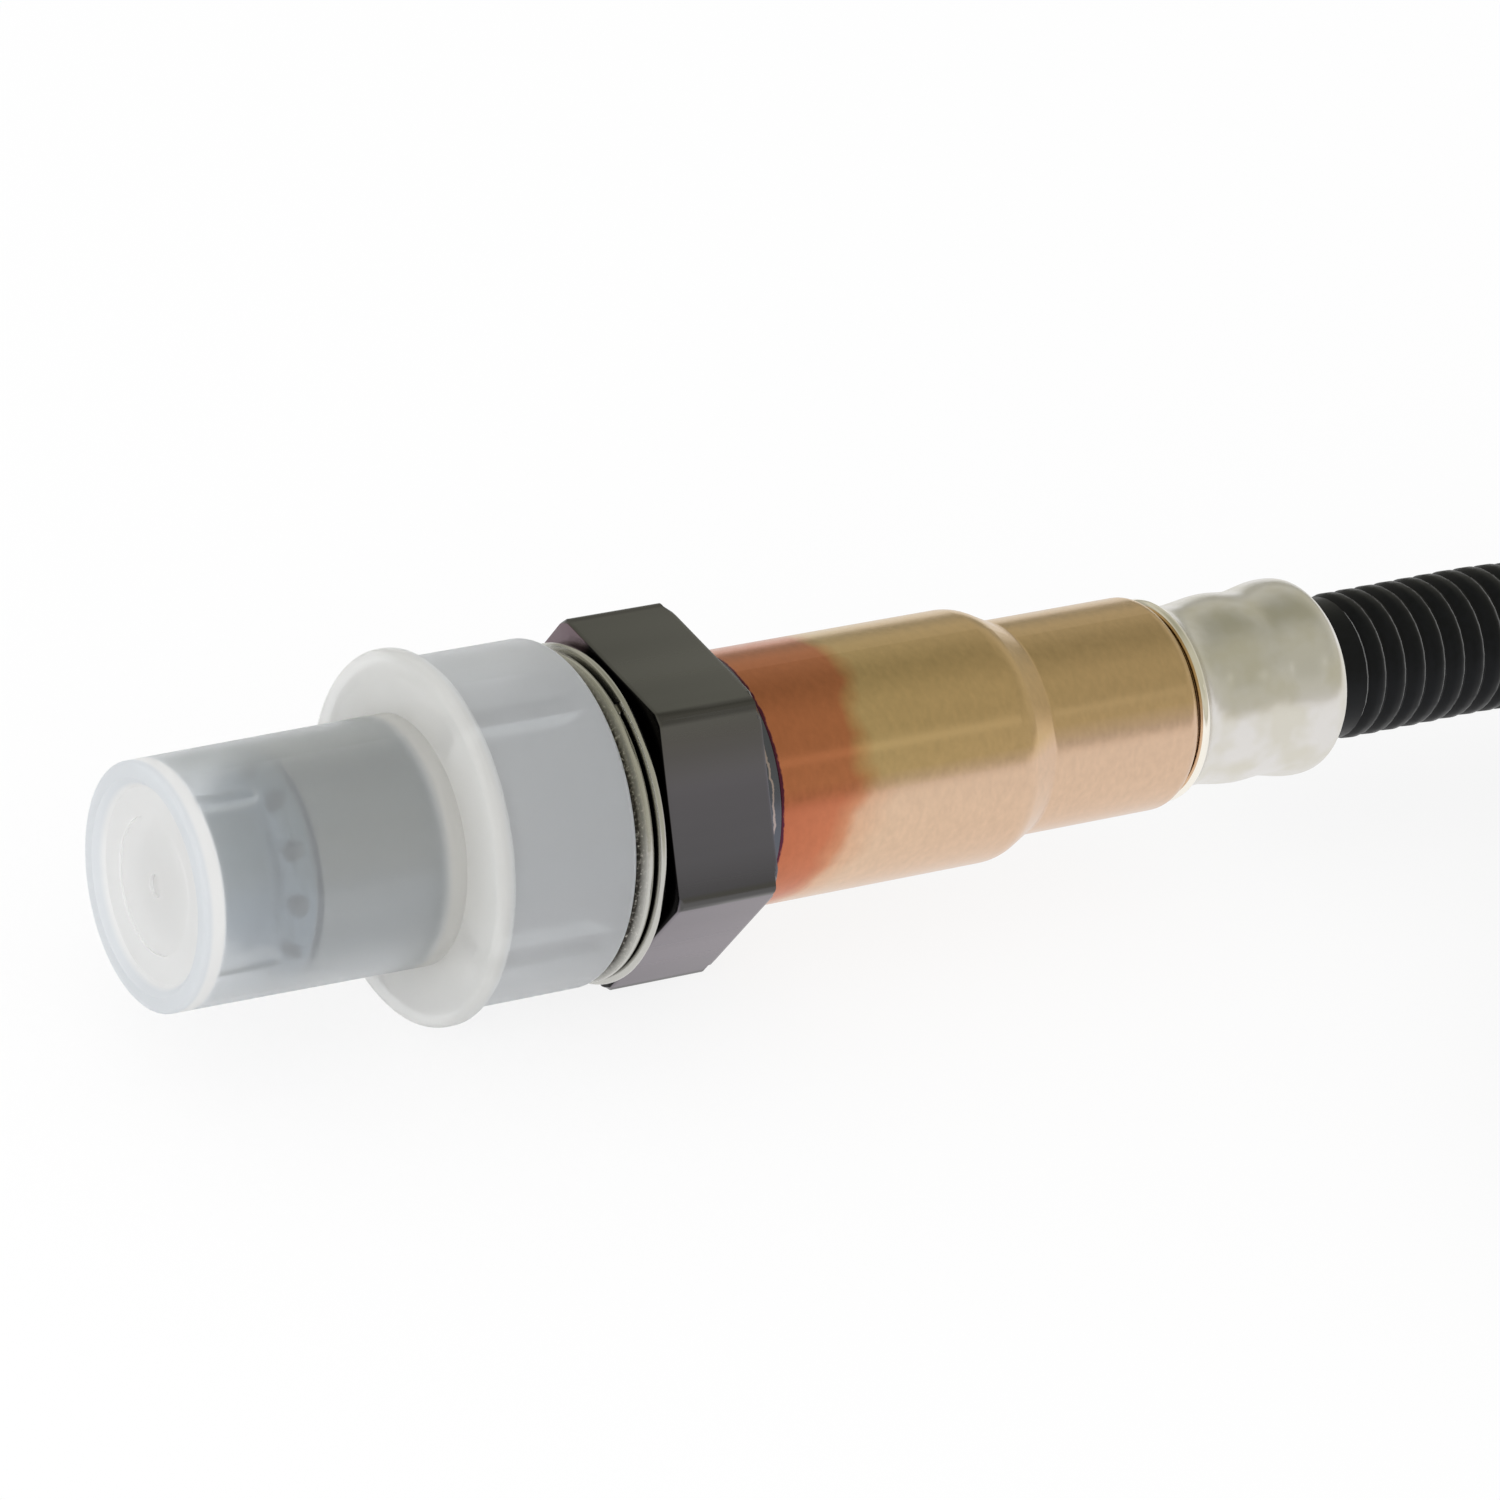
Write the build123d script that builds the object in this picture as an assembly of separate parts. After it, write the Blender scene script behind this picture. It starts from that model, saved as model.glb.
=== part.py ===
"""Heated exhaust oxygen sensor with its pull-off transport cap, its corrugated lead and its plug.

Millimetres. The sensor's axis is X: the tip points to -X and the lead leaves towards +X. +Z is up, with one
flat of the hexagon facing down. The origin is on the axis, in the plane of the hexagon's front face, where
the sealing ring seats. The part lies as it comes to rest: on the flange of its cap and on its coiled lead.
"""
from build123d import *
import math
import os

os.makedirs("parts", exist_ok=True)

# ---------------------------------------------------------------- fits
slip_gap = 0.05          # radial or end gap between pieces that seat on each other
cap_gap = 0.10           # cap bore over the protection tube
strap_gap = 0.95         # strap round the lead

# ---------------------------------------------------------------- housing
thread_d = 18.0          # M18 x 1.5, modelled at its crest
thread_length = 9.4
thread_lead_in = 0.9
relief_length = 2.4      # undercut behind the thread that keeps the sealing ring captive
relief_d = 16.4
hex_flats = 22.0
hex_length = 7.9
hex_edge_round = 0.6
hex_chamfer = 0.35
weld_collar_d = 18.2
weld_collar_length = 2.1
weld_collar_round = 0.25
sleeve_spigot_length = 3.4
tube_spigot_length = 2.4
element_passage_d = 7.8
packing_bore_d = 13.6
packing_bore_depth = 5.4  # how far the wide bore reaches in front of the hexagon
packing_seat_length = 2.2
crimp_lip_length = 1.0
crimp_lip_width = 0.6

# ---------------------------------------------------------------- protection tubes
tube_d = 14.8
tube_wall = 0.5
tube_length = 14.8       # from the housing's shoulder to the front of the step
tube_step_round = 2.3
tube_nose_d = 9.2
tube_nose_length = 4.4
tube_nose_round = 0.8
tube_root_round = 0.35
tip_hole_d = 2.6
step_hole_d = 1.5
step_hole_count = 12
step_hole_phase = -13.0  # degrees from the top towards -Y
inner_tube_d = 10.4
inner_tube_wall = 0.4
inner_tube_length = 9.0
inner_cone_length = 2.0
inner_nose_d = 7.0
inner_nose_length = 3.6
inner_hole_d = 1.3
inner_hole_count = 8
inner_tip_hole_d = 3.0

# ---------------------------------------------------------------- sealing ring, folded from sheet
ring_sheet = 0.45
ring_outer_d = 23.2
ring_lip_d = 22.6
ring_inner_d = 17.9
ring_fold_pitch = 0.62   # from one fold's layer to the next
ring_bend = 0.45         # bend radius as a share of that pitch
ring_hang = 0.5          # how far the loose ring has sunk in the undercut

# ---------------------------------------------------------------- transport cap
cap_wall = 0.9
cap_nose_front_d = 16.7
cap_nose_rear_d = 17.0
cap_rim_width = 1.1
cap_rim_height = 0.7
cap_disc = 1.0
cap_tip_gap = 0.7        # from the protection tube's end to the inside of the disc
cap_flange_d = 25.4
cap_flange = 1.3
cap_skirt_d = 23.7
cap_mouth_x = -3.1
cap_stop_gap = 0.15
cap_web = 1.25           # how far the ribs' feet stand in from the front wall
cap_edge_round = 0.3
cap_flange_round = 0.6   # front lip of the flange
cap_rib_width = 1.8
cap_rib_bore_d = 19.5    # circle that the ribs' edges leave free round the thread
cap_rib_count = 4
cap_rib_phase = 14.0     # degrees from the top towards -Y
cap_rib_lead_in = 1.3
cap_pad_d = 9.3          # slightly sunk middle of the end disc
cap_pad_depth = 0.15
cap_gate_d = 1.6         # mark of the moulding gate
cap_gate_depth = 0.25
cap_ejector_d = 2.0      # marks of the ejector pins, one on each side of a rib's foot
cap_ejector_depth = 0.12
cap_ejector_offset = 17.0
cap_nose_rib_width = 0.8
cap_nose_rib_height = 0.8
cap_nose_rib_gap = 0.7   # from the ribs inside the nose to the tube's step

# ---------------------------------------------------------------- element and its seal
element_width = 4.0
element_thickness = 1.3
element_front_x = -25.5
element_rear_x = 24.0
element_slot_gap = 0.1
front_insulator_length = 5.0
talc_length = 4.2
rear_insulator_length = 6.2
retaining_ring_bore_d = 8.0

# ---------------------------------------------------------------- sleeve and crimp collar
sleeve_wall = 0.6
sleeve_front_d = 17.7
sleeve_front_length = 20.4
sleeve_step_length = 2.7
sleeve_step_round = 3.0
sleeve_rear_d = 15.06
sleeve_rear_length = 12.4
sleeve_end_round = 1.1
sleeve_neck_d = 11.6
sleeve_neck_length = 5.6
crimp_wall = 0.6
crimp_gap = 0.2          # from the sleeve's rear shoulder to the collar's front lip
crimp_lip_d = 14.3
crimp_neck_d = 12.94
crimp_first_bulge_d = 13.46
crimp_dip_d = 13.26
crimp_rear_bulge_d = 14.08
crimp_shoulder_d = 13.4
crimp_mouth_d = 12.2
crimp_neck_at = 3.6      # stations of the wave, from the collar's front lip
crimp_first_bulge_at = 6.2
crimp_dip_at = 8.5
crimp_rear_bulge_at = 11.5
crimp_shoulder_at = 12.6
crimp_length = 13.1

# ---------------------------------------------------------------- contacts, leads and wire seal
contact_thickness = 0.35
contact_width = 1.0
contact_y = 1.5
contact_overlap = 8.5    # how far the strip lies on the element
barrel_d = 2.3
barrel_wall = 0.3
barrel_length = 3.4
barrel_z = 1.75
wire_d = 1.6
holder_d = 14.0
holder_length = 14.0
holder_front_gap = 0.8
clip_wall = 0.5
clip_length = 4.0
clip_lug_width = 2.0
clip_lug_count = 3
seal_front_gap = 0.6

# ---------------------------------------------------------------- corrugated lead
conduit_d = 10.46
conduit_flare_d = 11.9
conduit_flare_length = 5.5
arc_share = 0.45         # share of the shorter run beside a bend that its arc may take
coil_centre_x = 121.0
coil_r = 61.0
coil_turn = 230.0        # degrees that lie flat, before the end climbs over the start
tie_place = 0.58         # share of the first stretch at which the strap holds it
tie_width = 3.0
tie_wall = 0.9
tie_head = 4.5

# ---------------------------------------------------------------- plug
cover_entry = 7.0        # how deep the lead sits in the cover
cover_rear_d = 14.0
cover_taper_length = 8.0
plug_width = 22.0
plug_height = 16.0
plug_wall = 1.8
plug_length = 30.0
plug_round = 2.0
socket_depth = 17.0
seal_length = 5.0
pin_pitch_y = 6.0
pin_pitch_z = 4.6
pin_width = 1.5
pin_thickness = 0.7
pin_reach = 8.0
pin_tail = 3.5
pin_tip = 0.25
latch_width = 7.0
latch_height = 1.8
latch_length = 6.0
latch_from_mouth = 4.0
key_width = 1.6
key_height = 1.1
key_length = 15.0
lock_width = 9.0
lock_thickness = 2.0
lock_length = 7.0
lock_proud = 0.4
lock_from_rear = 3.5

# ---------------------------------------------------------------- worked-out stations and radii
thread_rear_x = -relief_length
thread_front_x = thread_rear_x - thread_length
tube_spigot_front_x = thread_front_x - tube_spigot_length
collar_rear_x = hex_length + weld_collar_length
housing_rear_x = collar_rear_x + sleeve_spigot_length
packing_front_x = -packing_bore_depth
packing_rear_x = housing_rear_x - crimp_lip_length

tube_r = tube_d / 2
tube_bore_r = tube_r - tube_wall
tube_rear_x = thread_front_x - slip_gap
tube_step_x = thread_front_x - tube_length
tube_end_x = tube_step_x - tube_nose_length

cap_inner_front_x = thread_front_x - cap_stop_gap - cap_web
cap_wall_front_x = cap_inner_front_x - cap_wall
cap_flange_rear_x = cap_wall_front_x + cap_flange
cap_disc_rear_x = tube_end_x - cap_tip_gap
cap_front_x = cap_disc_rear_x - cap_disc - cap_rim_height
cap_bore_r = tube_r + cap_gap

sleeve_front_x = collar_rear_x + slip_gap
sleeve_step_x = sleeve_front_x + sleeve_front_length
sleeve_rear_step_x = sleeve_step_x + sleeve_step_length
sleeve_shoulder_x = sleeve_rear_step_x + sleeve_rear_length
sleeve_neck_end_x = sleeve_shoulder_x + sleeve_neck_length
crimp_front_x = sleeve_shoulder_x + crimp_gap
crimp_rear_x = crimp_front_x + crimp_length
conduit_start_x = sleeve_neck_end_x + slip_gap
conduit_r = conduit_d / 2

floor_z = -cap_flange_d / 2
lead_z = floor_z + conduit_r
coil_centre = Vector(coil_centre_x, -coil_r, lead_z)
tail_angle = math.radians(90 - coil_turn)
tail_start = coil_centre + Vector(math.cos(tail_angle), math.sin(tail_angle), 0) * coil_r

# The lead leaves along the axis, sinks to the floor and enters the coil. Its last stretch climbs over the
# first one and ends in the plug, which lies on the coil.
lead_route = (
    (conduit_start_x, 0, 0),
    (62, 0, 0),
    (83, 0, 0.2),
    (103, 0, lead_z),
    (coil_centre_x, 0, lead_z),
)
tail_route = (
    tuple(tail_start),
    (65.3, -89.5, lead_z),
    (59.7, -76.7, -6.5),
    (57.9, -62.8, -4.6),
    (59.7, -48.9, -2.4),
    (64.7, -35.8, -0.2),
    (72.5, -24.2, 2.0),
    (82.6, -14.5, 4.1),
    (94.0, -7.3, 5.6),
    (106.7, -2.7, 6.2),
    (120.6, -0.8, 6.3),
    (134.2, -2.7, 6.3),
    (147.2, -8.5, 6.3),
)


# ---------------------------------------------------------------- helpers
def profile(corners):
    """Face in the XZ plane from (station, radius) corners; a third value rounds that corner."""
    face = make_face(Polyline(*[(x, 0, r) for x, r, *_ in corners], close=True))
    for x, r, *rounding in corners:
        if rounding:
            corner = face.vertices().sort_by_distance(Vector(x, 0, r))[0]
            face = fillet(corner, *rounding)
    return face


def turned(corners):
    """Solid turned about the sensor's axis from the corners of its section."""
    return revolve(profile(corners), Axis.X)


def bar(x_front, x_rear, radius, y=0.0, z=0.0):
    """Round bar along X."""
    plane = Plane(origin=(x_front, y, z), x_dir=(0, 1, 0), z_dir=(1, 0, 0))
    return extrude(plane * Circle(radius), amount=x_rear - x_front)


def block(x_front, x_rear, width, height, y=0.0, z=0.0):
    """Rectangular block along X, width along Y and height along Z."""
    plane = Plane(origin=(x_front, y, z), x_dir=(0, 1, 0), z_dir=(1, 0, 0))
    return extrude(plane * Rectangle(width, height), amount=x_rear - x_front)


def about_axis(shape, degrees):
    """Turns a piece drawn at the top of the sensor round the axis, from +Z towards -Y."""
    return Rot(degrees, 0, 0) * shape


def save(name, shape):
    """Writes one sub-part."""
    export_step(shape, f"parts/{name}.step")


def tube(name, route, radius):
    """Round tube along straight runs joined by tangent arcs; prints its arcs and checks its volume."""
    corners = [Vector(*point) for point in route]
    runs = [after - before for before, after in zip(corners, corners[1:])]
    radii = [
        arc_share * min(before.length, after.length) / math.tan(math.radians(before.get_angle(after) / 2))
        for before, after in zip(runs, runs[1:])
    ]
    path = FilletPolyline(*corners, radius=radii)
    start = Plane(origin=path @ 0, z_dir=path % 0)
    solid = sweep(start * Circle(radius), path=path)
    expected = math.pi * radius ** 2 * path.length
    print(f"{name}: length {path.length:.1f}, radii {[round(r, 1) for r in radii]},",
          f"volume {solid.volume:.0f} against {expected:.0f}")
    return solid, path


def sheet_ring(middle_line, sheet, bend):
    """Ring folded from sheet: the middle line of its section, thickened and turned about the axis."""
    line = FilletPolyline(*[(x, 0, r) for x, r in middle_line], radius=bend)
    section = make_face(offset(line, amount=sheet / 2, side=Side.BOTH, closed=True))
    return revolve(section, Axis.X)


# ---------------------------------------------------------------- front end
def hex_housing():
    """Steel body: tube spigot, thread, relief, hexagon, weld collar and sleeve spigot, bored through."""
    spigot_r = tube_bore_r - slip_gap
    thread_r = thread_d / 2
    lip_bore_r = packing_bore_d / 2 - crimp_lip_width
    body = turned((
        (tube_spigot_front_x, element_passage_d / 2),
        (tube_spigot_front_x, spigot_r),
        (thread_front_x, spigot_r),
        (thread_front_x, thread_r - thread_lead_in),
        (thread_front_x + thread_lead_in, thread_r),
        (thread_rear_x, thread_r),
        (thread_rear_x, relief_d / 2),
        (0, relief_d / 2),
        (0, weld_collar_d / 2),
        (collar_rear_x, weld_collar_d / 2, weld_collar_round),
        (collar_rear_x, sleeve_front_d / 2 - sleeve_wall - slip_gap),
        (housing_rear_x, sleeve_front_d / 2 - sleeve_wall - slip_gap),
        (housing_rear_x, lip_bore_r),
        (packing_rear_x, lip_bore_r),
        (packing_rear_x, packing_bore_d / 2),
        (packing_front_x, packing_bore_d / 2),
        (packing_front_x - packing_seat_length, element_passage_d / 2),
    ))
    flats = extrude(Plane.YZ * RegularPolygon(hex_flats / 2, 6, major_radius=False), amount=hex_length)
    flats = fillet(flats.edges().filter_by(Axis.X), hex_edge_round)
    corner_r = hex_flats / math.sqrt(3)
    trim = turned((
        (0, 0),
        (0, corner_r - hex_chamfer),
        (hex_chamfer, corner_r),
        (hex_length - hex_chamfer, corner_r),
        (hex_length, corner_r - 2 * hex_chamfer),
        (hex_length, 0),
    ))
    bore = bar(0, hex_length, packing_bore_d / 2)
    return body + (flats & trim) - bore


def outer_shield():
    """Deep-drawn outer protection tube: a round step with a ring of holes, and a hole in its tip."""
    nose_r = tube_nose_d / 2
    tube = turned((
        (tube_rear_x, tube_bore_r),
        (tube_rear_x, tube_r),
        (tube_step_x, tube_r, tube_step_round),
        (tube_step_x, nose_r, tube_root_round),
        (tube_end_x, nose_r, tube_nose_round),
        (tube_end_x, 0),
        (tube_end_x + tube_wall, 0),
        (tube_end_x + tube_wall, nose_r - tube_wall, tube_nose_round - tube_wall),
        (tube_step_x + tube_wall, nose_r - tube_wall),
        (tube_step_x + tube_wall, tube_bore_r, tube_step_round - tube_wall),
    ))
    reach = tube_step_round
    centre = Vector(tube_step_x + tube_step_round, 0, tube_r - tube_step_round)
    drill = Plane(origin=centre, z_dir=(-1, 0, 1)) * Cylinder(
        step_hole_d / 2, 2 * reach, align=(Align.CENTER, Align.CENTER, Align.MIN)
    )
    for number in range(step_hole_count):
        tube -= about_axis(drill, step_hole_phase + number * 360 / step_hole_count)
    return tube - bar(tube_end_x, tube_end_x + tube_wall, tip_hole_d / 2)


def inner_shield():
    """Inner protection tube: a flange against the spigot, a drilled tube, a cone and an open nose."""
    flange_front_x = tube_spigot_front_x - slip_gap - inner_tube_wall
    flange_rear_x = tube_spigot_front_x - slip_gap
    outer_r, nose_r = inner_tube_d / 2, inner_nose_d / 2
    cone_x = flange_front_x - inner_tube_length
    nose_x = cone_x - inner_cone_length
    end_x = nose_x - inner_nose_length
    tube = turned((
        (flange_rear_x, outer_r - inner_tube_wall),
        (flange_rear_x, tube_bore_r - slip_gap),
        (flange_front_x, tube_bore_r - slip_gap),
        (flange_front_x, outer_r),
        (cone_x, outer_r),
        (nose_x, nose_r),
        (end_x, nose_r),
        (end_x, inner_tip_hole_d / 2),
        (end_x + inner_tube_wall, inner_tip_hole_d / 2),
        (end_x + inner_tube_wall, nose_r - inner_tube_wall),
        (nose_x, nose_r - inner_tube_wall),
        (cone_x, outer_r - inner_tube_wall),
    ))
    hole_x = flange_front_x - inner_tube_length / 2
    drill = Pos(hole_x, 0, 0) * Cylinder(
        inner_hole_d / 2, outer_r + inner_tube_wall, align=(Align.CENTER, Align.CENTER, Align.MIN)
    )
    for number in range(inner_hole_count):
        tube -= about_axis(drill, (number + 0.5) * 360 / inner_hole_count)
    return tube


def seat_gasket():
    """Captive sealing ring folded from one strip of sheet: a wide flat fold, then a smaller inner lip."""
    rear_x = -slip_gap - ring_sheet / 2
    inner_r = ring_inner_d / 2
    outer_r = ring_outer_d / 2 - ring_sheet / 2
    lip_r = ring_lip_d / 2 - ring_sheet / 2
    folds = (
        (rear_x, inner_r + 2 * ring_sheet),
        (rear_x, outer_r),
        (rear_x - ring_fold_pitch, outer_r),
        (rear_x - ring_fold_pitch, inner_r + ring_sheet),
        (rear_x - 2 * ring_fold_pitch, inner_r + ring_sheet),
        (rear_x - 2 * ring_fold_pitch, lip_r),
        (rear_x - 3 * ring_fold_pitch, lip_r),
        (rear_x - 3 * ring_fold_pitch, inner_r),
    )
    return Pos(0, 0, -ring_hang) * sheet_ring(folds, ring_sheet, ring_bend * ring_fold_pitch)


def transport_cap():
    """Moulded pull-off cap: nose with a rimmed end disc, flange, skirt and inner ribs with stop feet."""
    nose_front_r, nose_rear_r = cap_nose_front_d / 2, cap_nose_rear_d / 2
    skirt_r = cap_skirt_d / 2
    shell = turned((
        (cap_front_x, nose_front_r - cap_rim_width),
        (cap_front_x, nose_front_r, cap_edge_round),
        (cap_wall_front_x, nose_rear_r),
        (cap_wall_front_x, cap_flange_d / 2, cap_flange_round),
        (cap_flange_rear_x, cap_flange_d / 2, cap_edge_round),
        (cap_flange_rear_x, skirt_r),
        (cap_mouth_x, skirt_r, cap_edge_round),
        (cap_mouth_x, skirt_r - cap_wall),
        (cap_inner_front_x, skirt_r - cap_wall),
        (cap_inner_front_x, cap_bore_r, cap_edge_round),
        (cap_disc_rear_x, cap_bore_r),
        (cap_disc_rear_x, 0),
        (cap_disc_rear_x - cap_disc, 0),
        (cap_disc_rear_x - cap_disc, nose_front_r - cap_rim_width - cap_rim_height),
    ))
    edge_r = cap_rib_bore_d / 2
    root_r = skirt_r - cap_wall / 2
    front_x = cap_inner_front_x - cap_wall / 2
    foot_x = cap_inner_front_x + cap_web
    rib_rear_x = cap_mouth_x - cap_wall
    rib_face = profile((
        (front_x, cap_bore_r + cap_wall / 2),
        (foot_x, cap_bore_r + cap_wall / 2),
        (foot_x, edge_r),
        (rib_rear_x - cap_rib_lead_in, edge_r),
        (rib_rear_x, skirt_r - cap_wall),
        (rib_rear_x, root_r),
        (front_x, root_r),
    ))
    rib = extrude(rib_face, amount=cap_rib_width / 2, dir=(0, 1, 0), both=True)
    nose_rib = block(
        cap_disc_rear_x - cap_wall / 2,
        tube_step_x - cap_nose_rib_gap,
        cap_nose_rib_width,
        cap_nose_rib_height + cap_wall / 2,
        z=cap_bore_r - (cap_nose_rib_height - cap_wall / 2) / 2,
    )
    pin_r = (cap_bore_r + skirt_r - cap_wall) / 2
    mark = bar(cap_inner_front_x - cap_ejector_depth, cap_inner_front_x, cap_ejector_d / 2, z=pin_r)
    disc_front_x = cap_disc_rear_x - cap_disc
    shell -= bar(disc_front_x, disc_front_x + cap_pad_depth, cap_pad_d / 2)
    shell -= bar(disc_front_x, disc_front_x + cap_pad_depth + cap_gate_depth, cap_gate_d / 2)
    for number in range(cap_rib_count):
        place = cap_rib_phase + number * 360 / cap_rib_count
        shell += about_axis(rib, place) + about_axis(nose_rib, place)
        shell -= about_axis(mark, place - cap_ejector_offset) + about_axis(mark, place + cap_ejector_offset)
    return shell


# ---------------------------------------------------------------- element and seal stack
def sensing_element():
    """Laminated ceramic strip."""
    return block(element_front_x, element_rear_x, element_width, element_thickness)


def element_slot(x_front, x_rear):
    """The strip's passage through a ceramic."""
    width = element_width + 2 * element_slot_gap
    height = element_thickness + 2 * element_slot_gap
    return block(x_front, x_rear, width, height)


def packing_ring(x_front, x_rear):
    """Plain ring of the seal stack, with the element's slot."""
    radius = packing_bore_d / 2 - slip_gap
    return bar(x_front, x_rear, radius) - element_slot(x_front, x_rear)


def front_insulator():
    """Ceramic bush whose cone sits in the housing's seat."""
    seat_front_x = packing_front_x - packing_seat_length + 2 * slip_gap
    rear_x = packing_front_x + front_insulator_length
    radius = packing_bore_d / 2 - slip_gap
    bush = turned((
        (seat_front_x, 0),
        (seat_front_x, element_passage_d / 2 - slip_gap),
        (packing_front_x + 2 * slip_gap, radius),
        (rear_x, radius),
        (rear_x, 0),
    ))
    return bush - element_slot(seat_front_x, rear_x)


talc_front_x = packing_front_x + front_insulator_length + slip_gap
rear_insulator_x = talc_front_x + talc_length + slip_gap
retaining_ring_x = rear_insulator_x + rear_insulator_length + slip_gap


def retaining_ring():
    """Steel ring under the housing's rolled lip."""
    outer_r = packing_bore_d / 2 - slip_gap
    return turned((
        (retaining_ring_x, retaining_ring_bore_d / 2),
        (retaining_ring_x, outer_r),
        (packing_rear_x - slip_gap, outer_r),
        (packing_rear_x - slip_gap, retaining_ring_bore_d / 2),
    ))


# ---------------------------------------------------------------- sleeve, contacts and crimp
def shell_sleeve():
    """Drawn stepped sleeve: wide front, round shoulder, narrower rear, and a neck for the crimp collar."""
    front_r, rear_r, neck_r = sleeve_front_d / 2, sleeve_rear_d / 2, sleeve_neck_d / 2
    return turned((
        (sleeve_front_x, front_r - sleeve_wall),
        (sleeve_front_x, front_r),
        (sleeve_step_x, front_r, sleeve_step_round),
        (sleeve_rear_step_x, rear_r, sleeve_wall),
        (sleeve_shoulder_x, rear_r, sleeve_end_round),
        (sleeve_shoulder_x, neck_r),
        (sleeve_neck_end_x, neck_r),
        (sleeve_neck_end_x, neck_r - sleeve_wall),
        (sleeve_shoulder_x - sleeve_wall, neck_r - sleeve_wall),
        (sleeve_shoulder_x - sleeve_wall, rear_r - sleeve_wall, sleeve_end_round - sleeve_wall),
        (sleeve_rear_step_x, rear_r - sleeve_wall),
        (sleeve_step_x - sleeve_wall / 4, front_r - sleeve_wall, sleeve_step_round - sleeve_wall),
    ))


def crimp_collar():
    """Steel collar crimped on the sleeve's neck and over the flared end of the lead."""
    wave_points = (
        (0, crimp_lip_d),
        (crimp_neck_at, crimp_neck_d),
        (crimp_first_bulge_at, crimp_first_bulge_d),
        (crimp_dip_at, crimp_dip_d),
        (crimp_rear_bulge_at, crimp_rear_bulge_d),
        (crimp_shoulder_at, crimp_shoulder_d),
        (crimp_length, crimp_mouth_d),
    )
    outside = [(crimp_front_x + x, 0, d / 2) for x, d in wave_points]
    wave = Spline(*outside)
    front_bore_r = crimp_lip_d / 2 - crimp_wall
    neck_bore_r = sleeve_neck_d / 2 + slip_gap
    flare_bore_r = conduit_flare_d / 2 + slip_gap
    mouth_bore_r = conduit_r + slip_gap
    flare_end_x = conduit_start_x + conduit_flare_length + slip_gap
    bore = Polyline(
        outside[-1],
        (crimp_rear_x, 0, mouth_bore_r),
        (crimp_rear_x - crimp_wall, 0, mouth_bore_r),
        (flare_end_x, 0, flare_bore_r),
        (conduit_start_x - slip_gap, 0, flare_bore_r),
        (crimp_front_x + crimp_neck_at, 0, neck_bore_r),
        (crimp_front_x + crimp_wall, 0, front_bore_r),
        (crimp_front_x, 0, front_bore_r),
        outside[0],
    )
    return revolve(make_face(Wire([*wave.edges(), *bore.edges()])), Axis.X)


def contact_holder(side):
    """Half of the two-piece ceramic that presses the contacts on the element; side is +1 above, -1 below."""
    front_x = housing_rear_x + holder_front_gap
    rear_x = front_x + holder_length
    inner_z = element_thickness / 2 + contact_thickness + 2 * slip_gap
    half = bar(front_x, rear_x, holder_d / 2)
    half &= block(front_x, rear_x, holder_d, holder_d, z=holder_d / 2 + inner_z)
    for y in (-contact_y, contact_y):
        half -= bar(element_rear_x, rear_x, barrel_d / 2 + slip_gap, y, barrel_z)
    if side < 0:
        half = about_axis(half, 180)
    return half


def holder_clip():
    """Sprung ring round the two halves, with lugs that centre it in the sleeve."""
    front_x = housing_rear_x + holder_front_gap + (holder_length - clip_length) / 2
    rear_x = front_x + clip_length
    inner_r = holder_d / 2 + slip_gap
    outer_r = inner_r + clip_wall
    ring = bar(front_x, rear_x, outer_r) - bar(front_x, rear_x, inner_r)
    lug_top = sleeve_front_d / 2 - sleeve_wall - 2 * slip_gap
    lug_height = lug_top - inner_r - clip_wall / 2
    lug_mid_x = (front_x + rear_x) / 2
    lug = block(
        lug_mid_x - clip_length / 4, lug_mid_x + clip_length / 4,
        clip_lug_width, lug_height, z=lug_top - lug_height / 2 - slip_gap,
    )
    for number in range(clip_lug_count):
        ring += about_axis(lug, number * 360 / clip_lug_count)
    return ring


def contact(number):
    """Sheet contact: a strip on the element, a rise, and the barrel that grips its lead."""
    side_y, side_z = lead_place(number)
    strip_z = element_thickness / 2 + slip_gap + contact_thickness / 2
    barrel_front_x = element_rear_x + 2 * slip_gap
    rise_x = barrel_front_x + (barrel_z - strip_z)
    line = Polyline(
        (element_rear_x - contact_overlap, 0, strip_z),
        (barrel_front_x, 0, strip_z),
        (rise_x, 0, barrel_z - barrel_d / 2 + barrel_wall / 2),
        (rise_x + barrel_length / 2, 0, barrel_z - barrel_d / 2 + barrel_wall / 2),
    )
    section = make_face(offset(line, amount=contact_thickness / 2, side=Side.BOTH, closed=True))
    strip = Pos(0, contact_y, 0) * extrude(section, amount=contact_width / 2, dir=(0, 1, 0), both=True)
    grip = bar(rise_x, rise_x + barrel_length, barrel_d / 2, contact_y, barrel_z)
    hollow = bar(rise_x, rise_x + barrel_length, barrel_d / 2 - barrel_wall, contact_y, barrel_z)
    piece = (strip - hollow) + (grip - hollow)
    if side_y < 0:
        piece = mirror(piece, about=Plane.XZ)
    if side_z < 0:
        piece = mirror(piece, about=Plane.XY)
    return piece


def lead_place(number):
    """Signs of Y and Z of a lead: the four stand in a square round the axis."""
    return (1 if number % 2 else -1), (1 if number <= 2 else -1)


def lead_wire(number):
    """Insulated lead from its contact's barrel through the wire seal to the start of the conduit."""
    side_y, side_z = lead_place(number)
    front_x = element_rear_x + barrel_z + slip_gap
    return bar(front_x, conduit_start_x - slip_gap, wire_d / 2, side_y * contact_y, side_z * barrel_z)


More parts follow.
